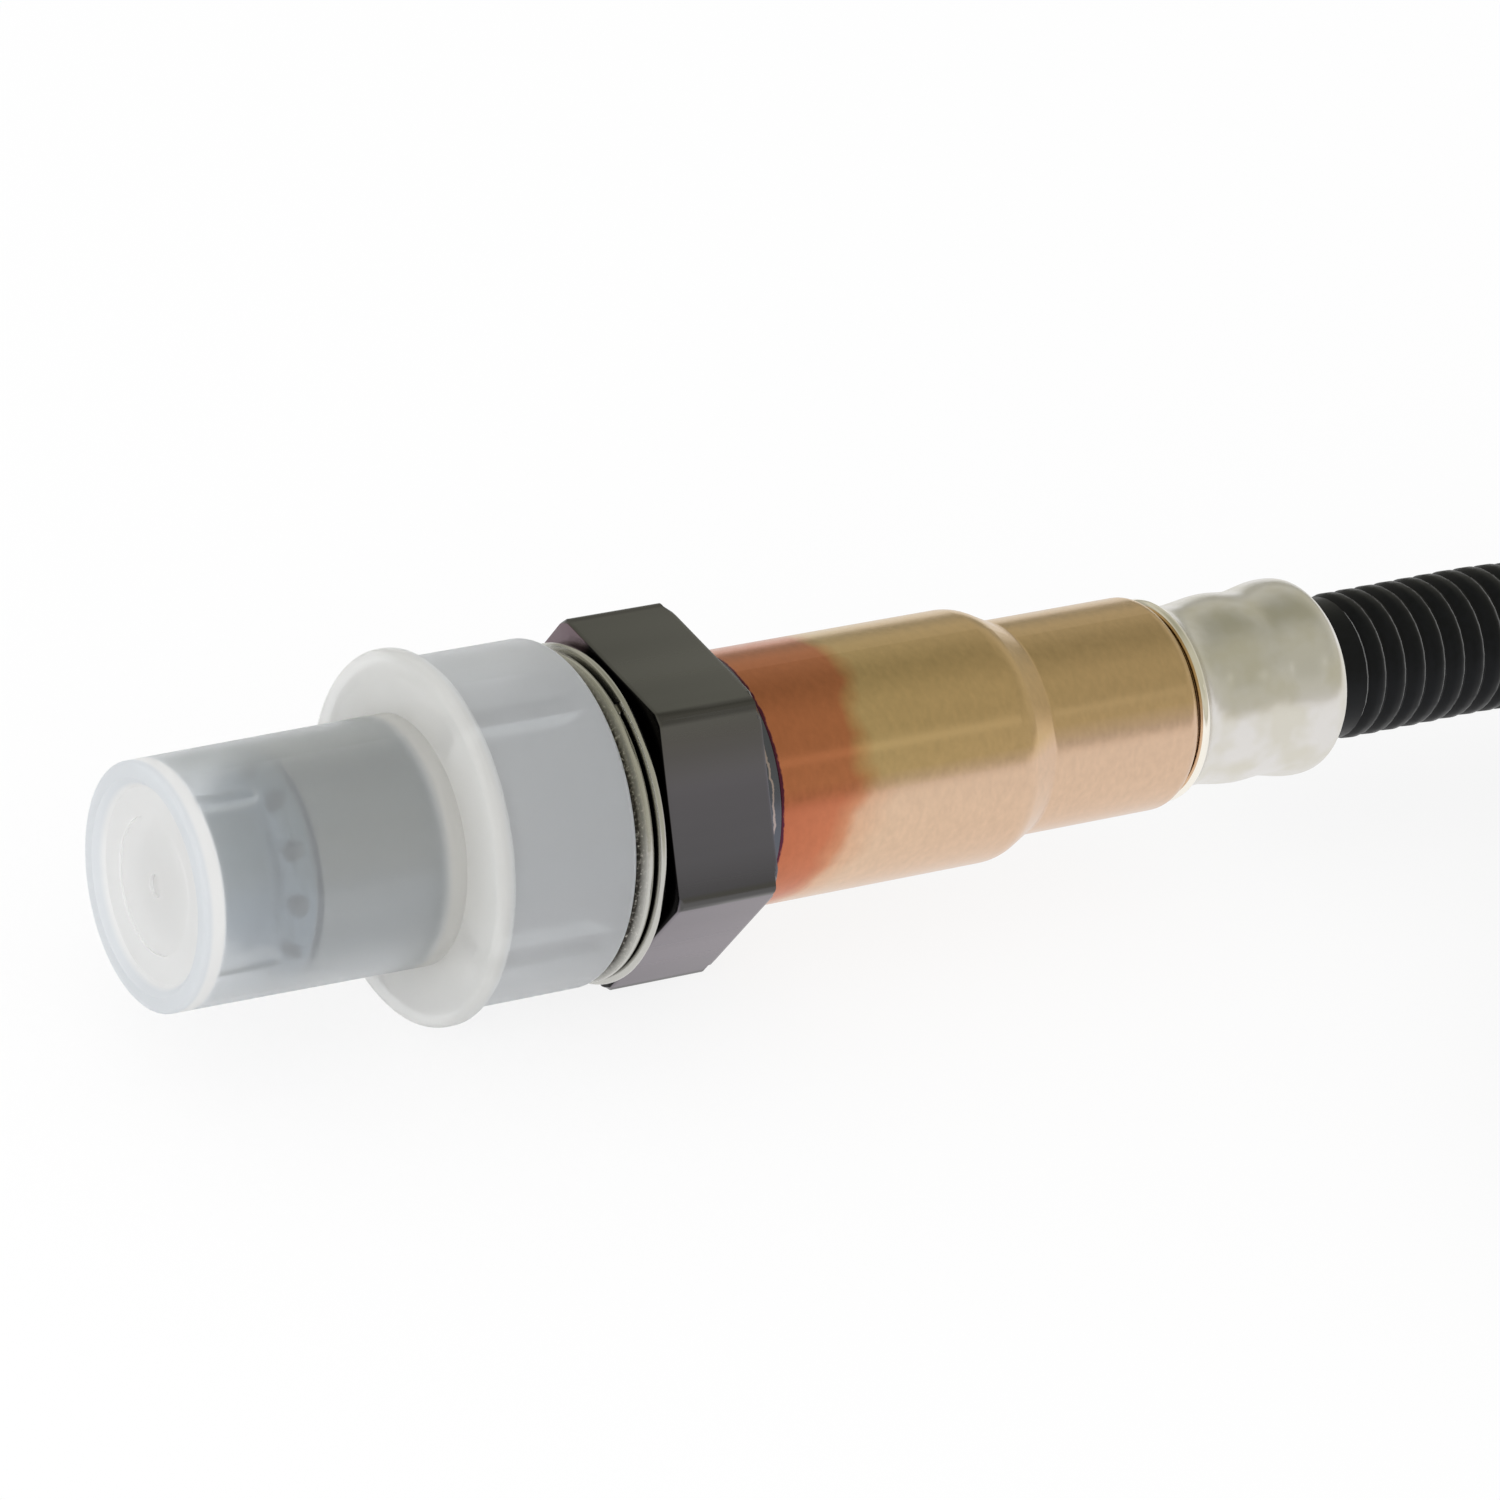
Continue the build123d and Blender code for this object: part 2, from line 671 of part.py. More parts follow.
def wire_seal():
    """Rubber plug in the narrow part of the sleeve and its neck, with a hole for each lead."""
    front_x = sleeve_rear_step_x + seal_front_gap
    body_rear_x = sleeve_shoulder_x - sleeve_wall - slip_gap
    body_r = sleeve_rear_d / 2 - sleeve_wall - slip_gap
    neck_r = sleeve_neck_d / 2 - sleeve_wall - slip_gap
    plug = turned((
        (front_x, 0),
        (front_x, body_r),
        (body_rear_x, body_r, sleeve_end_round - sleeve_wall),
        (body_rear_x, neck_r),
        (sleeve_neck_end_x - slip_gap, neck_r),
        (sleeve_neck_end_x - slip_gap, 0),
    ))
    for number in (1, 2, 3, 4):
        side_y, side_z = lead_place(number)
        plug -= bar(front_x, sleeve_neck_end_x, wire_d / 2 + slip_gap, side_y * contact_y, side_z * barrel_z)
    return plug


# ---------------------------------------------------------------- lead
def conduit_coil():
    """The flat part of the coil: one tube bent round the coil's centre."""
    start = Plane(origin=coil_centre + Vector(0, coil_r, 0), z_dir=(1, 0, 0))
    centre_line = Axis(coil_centre, (0, 0, -1))
    return revolve(start * Circle(conduit_r), centre_line, coil_turn)


def coil_tie(lower_path, upper_path):
    """Strap round the first stretch of the lead and the nearest point of the last one, with its head."""
    low = lower_path @ tie_place
    upper_place = min((step / 200 for step in range(201)), key=lambda t: (upper_path @ t - low).length)
    high = upper_path @ upper_place
    along = (lower_path % tie_place + upper_path % upper_place).normalized()
    span = (high - low) - along * (high - low).dot(along)
    plane = Plane(origin=(low + high) / 2 - along * (tie_width / 2), x_dir=span, z_dir=along)
    inner_d = conduit_d + 2 * strap_gap
    hole = plane * SlotCenterToCenter(span.length, inner_d)
    strap = plane * SlotCenterToCenter(span.length, inner_d + 2 * tie_wall)
    head = plane * Pos(0, -(inner_d + tie_head) / 2) * Rectangle(tie_head, tie_head)
    return extrude(strap + head - hole, amount=tie_width)


# ---------------------------------------------------------------- plug, drawn along +X from the lead's end
plug_front_x = seal_length + 3 * slip_gap
socket_x = plug_front_x + plug_length - socket_depth
mouth_x = plug_front_x + plug_length
cavity_width = plug_width - 2 * plug_wall
cavity_height = plug_height - 2 * plug_wall
pin_places = [
    (side_y * pin_pitch_y / 2, side_z * pin_pitch_z / 2)
    for side_z in (1, -1)
    for side_y in (1, -1)
]


def pin_holes(x_front, x_rear):
    """The four passages for the terminals."""
    width, height = pin_width + 2 * slip_gap, pin_thickness + 2 * slip_gap
    holes = [block(x_front, x_rear, width, height, y, z) for y, z in pin_places]
    return holes[0] + holes[1] + holes[2] + holes[3]


def connector_rear_cover():
    """Shell that grips the end of the lead: round at the rear, blending into the plug's outline."""
    taper_end_x = cover_taper_length - cover_entry
    rear_face = Plane(origin=(-cover_entry, 0, 0), x_dir=(0, 1, 0), z_dir=(1, 0, 0))
    front_face = Plane(origin=(taper_end_x, 0, 0), x_dir=(0, 1, 0), z_dir=(1, 0, 0))
    outline = RectangleRounded(plug_width, plug_height, plug_round)
    shell = loft([(rear_face * Circle(cover_rear_d / 2)).face(), (front_face * outline).face()])
    shell += extrude(front_face * outline, amount=plug_front_x - slip_gap - taper_end_x)
    shell -= bar(-cover_entry, 0, conduit_r + 3 * slip_gap)
    return shell - block(0, plug_front_x, cavity_width, cavity_height)


def connector_wire_seal():
    """Silicone mat behind the terminals."""
    width, height = cavity_width - 2 * slip_gap, cavity_height - 2 * slip_gap
    mat = block(slip_gap, seal_length + slip_gap, width, height)
    return mat - pin_holes(slip_gap, seal_length + slip_gap)


def connector_housing():
    """Socket half: keyed shell, latch ramp on top, pocket for the lock and passages for the terminals."""
    rear_face = Plane(origin=(plug_front_x, 0, 0), x_dir=(0, 1, 0), z_dir=(1, 0, 0))
    shell = extrude(rear_face * RectangleRounded(plug_width, plug_height, plug_round), amount=plug_length)
    shell -= block(socket_x, mouth_x, cavity_width, cavity_height)
    shell -= pin_holes(plug_front_x, socket_x)
    ramp_x = mouth_x - latch_from_mouth
    ramp = profile((
        (ramp_x - latch_length, plug_height / 2 - plug_wall / 2),
        (ramp_x, plug_height / 2 - plug_wall / 2),
        (ramp_x, plug_height / 2),
        (ramp_x - latch_length + latch_height, plug_height / 2 + latch_height),
        (ramp_x - latch_length, plug_height / 2 + latch_height),
    ))
    shell += extrude(ramp, amount=latch_width / 2, dir=(0, 1, 0), both=True)
    for side in (-1, 1):
        key_y = side * (plug_width / 2 + key_height / 2 - slip_gap)
        shell += block(mouth_x - key_length, mouth_x, key_height + 2 * slip_gap, key_width, y=key_y)
    pocket_x = plug_front_x + lock_from_rear
    pocket_top = plug_height / 2
    return shell - block(
        pocket_x - slip_gap, pocket_x + lock_length + slip_gap,
        lock_width + 2 * slip_gap, 2 * lock_thickness, z=pocket_top,
    )


def connector_lock():
    """Terminal lock pressed into its pocket."""
    front_x = plug_front_x + lock_from_rear
    bottom_z = plug_height / 2 - lock_thickness + slip_gap
    top_z = plug_height / 2 + lock_proud
    plate = block(front_x, front_x + lock_length, lock_width, top_z - bottom_z, z=(top_z + bottom_z) / 2)
    return chamfer(plate.faces().sort_by(Axis.Z)[-1].edges(), lock_proud / 2)


def connector_terminal(number):
    """Flat blade with a chamfered tip."""
    y, z = pin_places[number - 1]
    blade = block(seal_length - pin_tail, socket_x + pin_reach, pin_width, pin_thickness, y, z)
    return chamfer(blade.faces().sort_by(Axis.X)[-1].edges(), pin_tip)


# ---------------------------------------------------------------- build and write
pieces = {
    "hex_housing": hex_housing(),
    "outer_shield": outer_shield(),
    "inner_shield": inner_shield(),
    "seat_gasket": seat_gasket(),
    "transport_cap": transport_cap(),
    "sensing_element": sensing_element(),
    "front_insulator": front_insulator(),
    "talc_packing": packing_ring(talc_front_x, talc_front_x + talc_length),
    "rear_insulator": packing_ring(rear_insulator_x, rear_insulator_x + rear_insulator_length),
    "retaining_ring": retaining_ring(),
    "shell_sleeve": shell_sleeve(),
    "crimp_collar": crimp_collar(),
    "contact_holder_upper": contact_holder(1),
    "contact_holder_lower": contact_holder(-1),
    "holder_clip": holder_clip(),
    "wire_seal": wire_seal(),
}
for lead in (1, 2, 3, 4):
    pieces[f"contact_{lead}"] = contact(lead)
    pieces[f"lead_wire_{lead}"] = lead_wire(lead)

run_tube, run_path = tube("conduit_run", lead_route, conduit_r)
tail_tube, tail_path = tube("conduit_tail", tail_route, conduit_r)
flare = bar(conduit_start_x, conduit_start_x + conduit_flare_length, conduit_flare_d / 2)
pieces["conduit_run"] = run_tube + flare
pieces["conduit_coil"] = conduit_coil()
pieces["conduit_tail"] = tail_tube
pieces["coil_tie"] = coil_tie(run_path, tail_path)
print(f"conduit_coil: radius {coil_r:.1f}, length {math.radians(coil_turn) * coil_r:.1f}")

lead_end = tail_path @ 1
lead_direction = tail_path % 1
plug_place = Location(lead_end) * Rot(0, 0, math.degrees(math.atan2(lead_direction.Y, lead_direction.X)))
plug_pieces = {
    "connector_rear_cover": connector_rear_cover(),
    "connector_wire_seal": connector_wire_seal(),
    "connector_housing": connector_housing(),
    "connector_lock": connector_lock(),
}
for terminal in (1, 2, 3, 4):
    plug_pieces[f"connector_terminal_{terminal}"] = connector_terminal(terminal)
for name, piece in plug_pieces.items():
    pieces[name] = plug_place * piece

for name, piece in pieces.items():
    save(name, piece)
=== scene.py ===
# %% [markdown]
# # Exhaust oxygen sensor with its transport cap
# The imported model of the sensor is already in the scene: every solid sits at its true size, in metres,
# with the tip towards -X, the lead towards +X and +Z up. This lesson dresses it. It gives each solid its
# real finish, cuts the screw thread, gives the black lead its corrugations, and lights the part on a pale
# table.

# %% The frame
import bpy
import math
from mathutils import Matrix, Vector, noise


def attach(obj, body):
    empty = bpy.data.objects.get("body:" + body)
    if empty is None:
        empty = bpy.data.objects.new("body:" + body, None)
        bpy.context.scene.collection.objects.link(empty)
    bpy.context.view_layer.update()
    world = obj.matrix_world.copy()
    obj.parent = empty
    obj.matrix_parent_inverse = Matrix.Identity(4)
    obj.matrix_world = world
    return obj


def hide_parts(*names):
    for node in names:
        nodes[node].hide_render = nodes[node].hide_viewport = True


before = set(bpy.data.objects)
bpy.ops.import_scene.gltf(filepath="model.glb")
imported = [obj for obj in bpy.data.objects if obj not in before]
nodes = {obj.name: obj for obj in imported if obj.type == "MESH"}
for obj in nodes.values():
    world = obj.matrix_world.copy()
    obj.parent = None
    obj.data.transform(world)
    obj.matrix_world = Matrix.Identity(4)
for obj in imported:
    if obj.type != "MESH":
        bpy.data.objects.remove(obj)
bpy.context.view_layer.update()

MM = 0.001

# %% [markdown]
# ## Colour and node helpers
# Colours are written as sRGB hex values, the way a paint chip or a picture editor gives them. The shader
# wants linear light, so one function converts them. A second small function adds any shader node, sets
# its values and links its sockets, which keeps each recipe below short enough to read as a list of steps.
# The nodes could also be placed by hand in the shader editor, but a script can be read through, run again
# and changed in one place.

# %% Helpers for colours and nodes
def linear(hex_colour):
    """Linear RGBA of an sRGB hex colour such as #50524c."""
    channels = [int(hex_colour[i:i + 2], 16) / 255 for i in (1, 3, 5)]
    return [c / 12.92 if c <= 0.04045 else ((c + 0.055) / 1.055) ** 2.4 for c in channels] + [1.0]


def add(tree, kind, settings, links=None):
    """Adds a node. Settings are attributes, socket values or a ramp's stops; links feed its sockets."""
    made = tree.nodes.new("ShaderNode" + kind)
    for name, value in settings.items():
        if name == "stops":
            elements = made.color_ramp.elements
            while len(elements) < len(value):
                elements.new(0.5)
            for element, (position, colour) in zip(elements, value):
                element.position = position
                element.color = linear(colour) if isinstance(colour, str) else [colour] * 3 + [1.0]
        elif isinstance(name, str) and hasattr(made, name):
            setattr(made, name, value)
        else:
            made.inputs[name].default_value = linear(value) if str(value).startswith("#") else value
    for name, source in (links or {}).items():
        output = source if isinstance(source, bpy.types.NodeSocket) else source.outputs[0]
        tree.links.new(output, made.inputs[name])
    return made


def finish_named(name):
    """A new material and its empty tree."""
    material = bpy.data.materials.new(name)
    material.use_nodes = True
    material.node_tree.nodes.clear()
    return material, material.node_tree


def dress(material, *pieces):
    """Gives each piece, named or made, that one finish."""
    for piece in pieces:
        piece = nodes[piece] if isinstance(piece, str) else piece
        piece.data.materials.clear()
        piece.data.materials.append(material)


print("mid grey #808080 is", round(linear("#808080")[0], 3), "in linear light")

# %% [markdown]
# ## Camera
# The part is shown from its front left and a little above, through a long lens, as a catalogue picture is
# taken. A long lens far away keeps a small round part from looking swollen at its near end. The camera is
# placed by a rotation matrix whose columns are its right, its up and the direction behind it. A Track To
# constraint could aim it too, but a matrix repeats one viewing angle exactly, roll included.

# %% Camera
camera = bpy.data.objects.new("camera", bpy.data.cameras.new("camera"))
bpy.context.scene.collection.objects.link(camera)
camera.data.sensor_width = 36
camera.data.lens = 192
camera.data.clip_start, camera.data.clip_end = 0.01, 10
right = (0.84391, -0.51002, 0.16639)
down = (-0.15586, -0.52987, -0.83363)
forward = (0.51334, 0.67758, -0.52666)
columns = Matrix([right, [-c for c in down], [-c for c in forward]]).transposed()
camera.matrix_world = Matrix.Translation((-0.26502, -0.36660, 0.28705)) @ columns.to_4x4()
bpy.context.scene.camera = camera
bpy.context.scene.view_settings.view_transform = "Standard"
camera_distance = camera.location.length
print(f"lens {camera.data.lens:.0f} mm, camera {camera_distance:.3f} m from the seat of the sensor")

# %% [markdown]
# ## The lead's path
# The real lead is a corrugated nylon conduit with the insulated wires inside it. It leaves the crimp
# collar straight, sinks to the table, makes one round turn, climbs over its own start and ends in the
# plug. A NURBS spline of order 3 makes one smooth bend of that whole path from a few given points, the
# way a stiff hose bends. The turn is a loop with eighteen points to a full circle. A Bezier curve could
# follow the same points, but each of its points has two handles to set as well.

# %% The path as a spline
FLOOR = -12.7 * MM
LEAD_D = 10.46 * MM
LEAD_R = LEAD_D / 2
LOW = FLOOR + LEAD_R
COIL_R = 61.0 * MM
COIL_CENTRE = Vector((121.0 * MM, -COIL_R, LOW))
COIL_TURN = 230
COIL_STEP = 20

points_mm = [(51.2, 0, 0), (62, 0, 0), (83, 0, 0.2), (103, 0, LOW / MM)]
route = [Vector(point) * MM for point in points_mm]
for turned in range(0, COIL_TURN, COIL_STEP):
    angle = math.radians(90 - turned)
    route.append(COIL_CENTRE + Vector((math.cos(angle), math.sin(angle), 0)) * COIL_R)
tail_mm = [
    (65.3, -89.5, LOW / MM), (59.7, -76.7, -6.5), (57.9, -62.8, -4.6), (59.7, -48.9, -2.4),
    (64.7, -35.8, -0.2), (72.5, -24.2, 2.0), (82.6, -14.5, 4.1), (94.0, -7.3, 5.6),
    (106.7, -2.7, 6.2), (120.6, -0.8, 6.3), (134.2, -2.7, 6.3), (147.2, -8.5, 6.3),
]
route += [Vector(point) * MM for point in tail_mm]


def smooth_line(name, points, resolution):
    """Points along the NURBS spline of order 3 that has these control points."""
    curve = bpy.data.curves.new(name, "CURVE")
    curve.dimensions = "3D"
    curve.resolution_u = resolution
    spline = curve.splines.new("NURBS")
    spline.points.add(len(points) - 1)
    for point, place in zip(spline.points, points):
        point.co = (*place, 1)
    spline.order_u = 3
    spline.use_endpoint_u = True
    holder = bpy.data.objects.new(name, curve)
    mesh = bpy.data.meshes.new_from_object(holder)
    line = [vertex.co.copy() for vertex in mesh.vertices]
    bpy.data.meshes.remove(mesh)
    bpy.data.objects.remove(holder)
    bpy.data.curves.remove(curve)
    return line


lead_line = smooth_line("lead_path", route, 24)
lead_length = sum((b - a).length for a, b in zip(lead_line, lead_line[1:]))
print(f"{len(route)} control points, {len(lead_line)} points along the line, {lead_length / MM:.1f} mm long")

# %% [markdown]
# ## Corrugated conduit
# A tube that follows a line is made of rings of points laid across it, joined by faces. The rings' frames
# are carried along the line without twist, so the facets stay straight. The same skin of rings serves for
# every turned or pressed piece further down. A curve with a round bevel would give a plain tube with less
# work, but not the ribs that follow below.

# %% A tube of rings along a path
def carried_frames(line):
    """(point, across, up) at each point of a line, turned only as the line bends."""
    frames = []
    across = Vector((0, 1, 0))
    for number, point in enumerate(line):
        ahead = (line[min(number + 1, len(line) - 1)] - line[max(number - 1, 0)]).normalized()
        across = (across - ahead * across.dot(ahead)).normalized()
        frames.append((point, across, ahead.cross(across)))
    return frames


def spaced(line, stations):
    """Points at those distances along a line."""
    points, walked, number = [], 0.0, 0
    for station in stations:
        while number < len(line) - 2 and walked + (line[number + 1] - line[number]).length < station:
            walked += (line[number + 1] - line[number]).length
            number += 1
        step = line[number + 1] - line[number]
        points.append(line[number] + step * min(1, (station - walked) / step.length))
    return points


def mesh_piece(name, points, faces, smooth_angle=35):
    """A mesh object from points and faces, shaded smooth except across sharp edges."""
    mesh = bpy.data.meshes.new(name)
    mesh.from_pydata(points, [], faces)
    mesh.validate()
    mesh.polygons.foreach_set("use_smooth", [True] * len(mesh.polygons))
    mesh.set_sharp_from_angle(angle=math.radians(smooth_angle))
    piece = bpy.data.objects.new(name, mesh)
    bpy.context.scene.collection.objects.link(piece)
    return piece


def skin(name, rings, closed, smooth_angle=35):
    """Joins rings of equally many points into a skin; closed joins the last ring to the first."""
    count = len(rings[0])
    points = [point for ring in rings for point in ring]
    pairs = len(rings) if closed else len(rings) - 1
    faces = [
        (
            number * count + turn,
            number * count + (turn + 1) % count,
            (number + 1) % len(rings) * count + (turn + 1) % count,
            (number + 1) % len(rings) * count + turn,
        )
        for number in range(pairs)
        for turn in range(count)
    ]
    if not closed:
        faces.append(tuple(reversed(range(count))))
        faces.append(tuple((len(rings) - 1) * count + turn for turn in range(count)))
    return mesh_piece(name, points, faces, smooth_angle)


two_places = spaced(lead_line, [10 * MM, 100 * MM])
print("10 and 100 mm along, the path is at x =", [round(point.x / MM, 1) for point in two_places], "mm")

# %% [markdown]
# ## Ribs of the conduit
# The sheath is extruded and then blown into a chain of moulds, so it comes out as a row of round ribs
# with narrower rings between them, which lets a thick tube bend. Only its short front end, under the
# collar and just behind it, is plain. Each rib has a round shoulder, a crown and a waist, given as shares
# of the pitch and depth. A bump in the material could suggest the ribs, but they show on the outline of
# the hose, so they are real points.

# %% The ribbed sheath
RIB_PITCH = 1.735 * MM
RIB_DEPTH = 0.42 * MM
CUFF_LENGTH = 10.5 * MM
CUFF_R = LEAD_R - 0.15 * MM
CUFF_RUNOUT = 0.3 * MM
RIB_SHAPE = (
    (0.0, 0.0), (0.12, 0.55), (0.24, 0.93), (0.38, 1.0),
    (0.52, 1.0), (0.66, 0.93), (0.78, 0.55), (0.90, 0.0),
)
SIDES = 30

stations = [0.0, CUFF_LENGTH - CUFF_RUNOUT]
radii = [CUFF_R, CUFF_R]
start = CUFF_LENGTH
while start + RIB_PITCH < lead_length:
    for along, height in RIB_SHAPE:
        stations.append(start + along * RIB_PITCH)
        radii.append(LEAD_R - RIB_DEPTH * (1 - height))
    start += RIB_PITCH
stations.append(lead_length)
radii.append(radii[-1])
rings = [
    [
        point + (across * math.cos(turn) + up * math.sin(turn)) * radius
        for turn in (2 * math.pi * side / SIDES for side in range(SIDES))
    ]
    for (point, across, up), radius in zip(carried_frames(spaced(lead_line, stations)), radii)
]
conduit = skin("conduit", rings, closed=False)
print(f"{(len(stations) - 3) // len(RIB_SHAPE)} ribs, {len(conduit.data.polygons)} faces")

# %% [markdown]
# ## Steel body with its screw thread
# The housing is turned from one bar: the hexagon for the spanner, the M18 x 1.5 thread in front of it
# with an undercut for the sealing ring, and behind it a collar that the sleeve is welded to. The bare
# solid has a plain cylinder at the thread's crest. Here the same outline is drawn again as rings round
# the axis, and between the undercut and the front chamfer each ring follows the screw: going once round
# moves the groove by one pitch. A Screw modifier could turn one tooth into a thread, but then its run-out
# and its chamfer would have to be cut with booleans; as rings, each point simply gets its own radius.

# %% Outline of the hexagon and of the thread
THREAD_R = 9.0 * MM
THREAD_PITCH = 1.5 * MM
THREAD_DEPTH = 0.92 * MM
THREAD_FRONT = -11.8 * MM
THREAD_REAR = -2.4 * MM
THREAD_CHAMFER = 0.9 * MM
THREAD_CREST = 0.188 * MM
FLANK_ANGLE = math.radians(30)
THREAD_RUNOUT = 0.6 * MM
FLAT_R = 11.0 * MM
HEX_ROUND = 0.6 * MM
HEX_TRIM = 0.35 * MM
HEX_REAR = 7.9 * MM
HALF_SIDE = math.radians(30)
CORNER_R = FLAT_R / math.cos(HALF_SIDE)
TURN_STEP = 2.5
NEAR_CORNER = (-1.9, -1.3, -0.8, -0.4, 0.4, 0.8, 1.3, 1.9)

even_turns = {round(TURN_STEP * step, 3) for step in range(144)}
corner_turns = {
    round((30 + 60 * corner + offset) % 360, 3)
    for corner in range(6)
    for offset in NEAR_CORNER
}
turns = sorted(even_turns | corner_turns)


def around(x, radius, turn):
    """Point at a station and radius, turned by that many degrees from +Z towards -Y."""
    angle = math.radians(turn)
    return Vector((x, -radius * math.sin(angle), radius * math.cos(angle)))


def hexagon_r(turn):
    """Distance of the rounded hexagon's outline from the axis; flats face up and down."""
    off_flat = math.radians((turn + 30) % 60 - 30)
    flat = FLAT_R / math.cos(off_flat)
    to_corner = HALF_SIDE - abs(off_flat)
    round_centre = (FLAT_R - HEX_ROUND) / math.cos(HALF_SIDE)
    reach = round_centre * math.sin(to_corner)
    if reach >= HEX_ROUND * math.sin(HALF_SIDE):
        return flat
    return round_centre * math.cos(to_corner) + math.sqrt(HEX_ROUND ** 2 - reach ** 2)


def thread_r(x, turn):
    """Radius of the thread at a station: crest, 60 degree flanks and root, less the front chamfer."""
    phase = ((x - THREAD_FRONT) / THREAD_PITCH - turn / 360) % 1.0
    from_root = abs(phase - 0.5) * THREAD_PITCH
    flank = THREAD_DEPTH * math.tan(FLANK_ANGLE)
    cut = min(1.0, max(0.0, (0.5 * THREAD_PITCH - THREAD_CREST / 2 - from_root) / flank))
    fade = min(1.0, (THREAD_REAR - x) / THREAD_RUNOUT)
    chamfered = THREAD_R - THREAD_CHAMFER + (x - THREAD_FRONT)
    return min(THREAD_R - THREAD_DEPTH * cut * fade, chamfered)


corner_mm = hexagon_r(30) / MM
flat_mm = hexagon_r(0) / MM
print(f"{len(turns)} points round, corner {corner_mm:.2f} mm and flat {flat_mm:.1f} mm from the axis")

# %% [markdown]
# ## The housing, ring by ring
# The rings run from the shield spigot over the thread, the undercut and the hexagon to the weld collar,
# and back along the bore, so the skin closes on itself. Both ends of the hexagon have a turned chamfer,
# deeper at the rear, and a small round along its edges catches the light. A Bevel modifier could round
# the edges, but the turns of the thread would have to be kept out of it.

# %% The housing as rings
def plain_ring(x, radius):
    """One round ring of the housing."""
    return [around(x, radius, turn) for turn in turns]


def hex_ring(x, inset, trim):
    """One ring of the hexagon, set in by inset and cut by the turned chamfer."""
    return [around(x, min(hexagon_r(turn) - inset, CORNER_R - trim), turn) for turn in turns]


EDGE = 0.08 * MM
rings = [plain_ring(x * MM, r * MM) for x, r in ((-14.2, 3.9), (-14.2, 6.85), (-11.8, 6.85))]
THREAD_ROWS = 170
for row in range(THREAD_ROWS + 1):
    x = THREAD_FRONT + (THREAD_REAR - THREAD_FRONT) * row / THREAD_ROWS
    rings.append([around(x, thread_r(x, turn), turn) for turn in turns])
rings += [plain_ring(x * MM, r * MM) for x, r in ((-2.4, 8.2), (0.0, 8.2), (0.0, 10.4))]
rings += [
    hex_ring(x, inset, trim)
    for x, inset, trim in (
        (0.0, 2 * EDGE, HEX_TRIM + EDGE),
        (0.3 * EDGE, EDGE, HEX_TRIM),
        (2 * EDGE, 0.2 * EDGE, HEX_TRIM - EDGE),
        (HEX_TRIM, 0.0, 0.0),
        (HEX_REAR / 2, 0.0, 0.0),
        (HEX_REAR - HEX_TRIM, 0.0, 0.0),
        (HEX_REAR - 2 * EDGE, 0.2 * EDGE, 1.5 * HEX_TRIM),
        (HEX_REAR - 0.3 * EDGE, EDGE, 1.9 * HEX_TRIM),
        (HEX_REAR, 2 * EDGE, 2 * HEX_TRIM + EDGE),
    )
]
rings += [
    plain_ring(x * MM, r * MM)
    for x, r in (
        (7.9, 9.4), (8.0, 9.2), (8.2, 9.1), (9.7, 9.1), (9.85, 9.07), (9.96, 8.96), (10.0, 8.85),
        (10.0, 8.2), (13.4, 8.2), (13.4, 6.2), (12.4, 6.2), (12.4, 6.8), (-5.4, 6.8), (-7.6, 3.9),
    )
]
housing = skin("housing", rings, closed=True, smooth_angle=28)
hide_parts("hex_housing")
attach(housing, "sensor")
print(f"{len(rings)} rings, {THREAD_ROWS + 1} of them along the thread, {len(housing.data.polygons)} faces")

# %% [markdown]
# ## Sealing ring
# The ring is folded from one thin strip, so its edge shows as two round beads with a groove between them:
# a bead against the hexagon, and a lip in front of it that curls in. The lip is rough, so its points are
# moved in and out a little by a noise. A small tongue bridges the groove at one place, and on one side of
# it the groove is deeper. The ring is loose on the thread, so it hangs down by half a millimetre. The
# outline is given in millimetres and the tongue's place in degrees. Two plain tori would be quicker, but
# they would miss the folds, the tongue and the rough lip.

# %% Ring of two beads
RING_HANG = 0.5 * MM
TONGUE_AT = 18.0
TONGUE_HALF = 2.2
TONGUE_R = 11.34
OPEN_FROM = -70
OPEN_DEEPER = 0.35
RING_OUTLINE = (
    (-0.08, 9.2), (-0.08, 10.4), (-0.28, 10.9), (-0.45, 11.3), (-0.55, 11.5), (-0.65, 11.58), (-0.77, 11.6),
    (-0.89, 11.57), (-0.98, 11.48), (-1.03, 11.3), (-1.06, 11.1), (-1.1, 10.8), (-1.18, 10.8), (-1.24, 11.0),
    (-1.3, 11.14), (-1.4, 11.24), (-1.54, 11.3), (-1.68, 11.32), (-1.8, 11.3), (-1.9, 11.24), (-2.0, 11.14),
    (-2.12, 11.04), (-2.24, 10.98), (-2.36, 10.94), (-2.46, 10.88), (-2.52, 10.78), (-2.56, 10.6),
    (-2.57, 10.4), (-2.57, 9.2),
)
GROOVE_FRONT = -1.27
GROOVE_REAR = -1.02
ROUGH_FROM = -1.7
ROUGH_BEYOND_R = 10
ROUGH_SIZE = 0.12
ROUGH_SHARE = 0.0028


def ring_point(x, radius, turn):
    """Point of the sealing ring: rough in front, groove deeper on one side of the tongue that bridges it."""
    if GROOVE_FRONT < x < GROOVE_REAR:
        from_tongue = (turn - TONGUE_AT + 180) % 360 - 180
        if abs(from_tongue) < TONGUE_HALF:
            radius = TONGUE_R
        elif OPEN_FROM < from_tongue < 0:
            radius -= OPEN_DEEPER
    point = around(x * MM, radius * MM, turn)
    if x < ROUGH_FROM and radius > ROUGH_BEYOND_R:
        point *= 1 + ROUGH_SHARE * noise.noise(point / (ROUGH_SIZE * MM))
    return point - Vector((0, 0, RING_HANG))


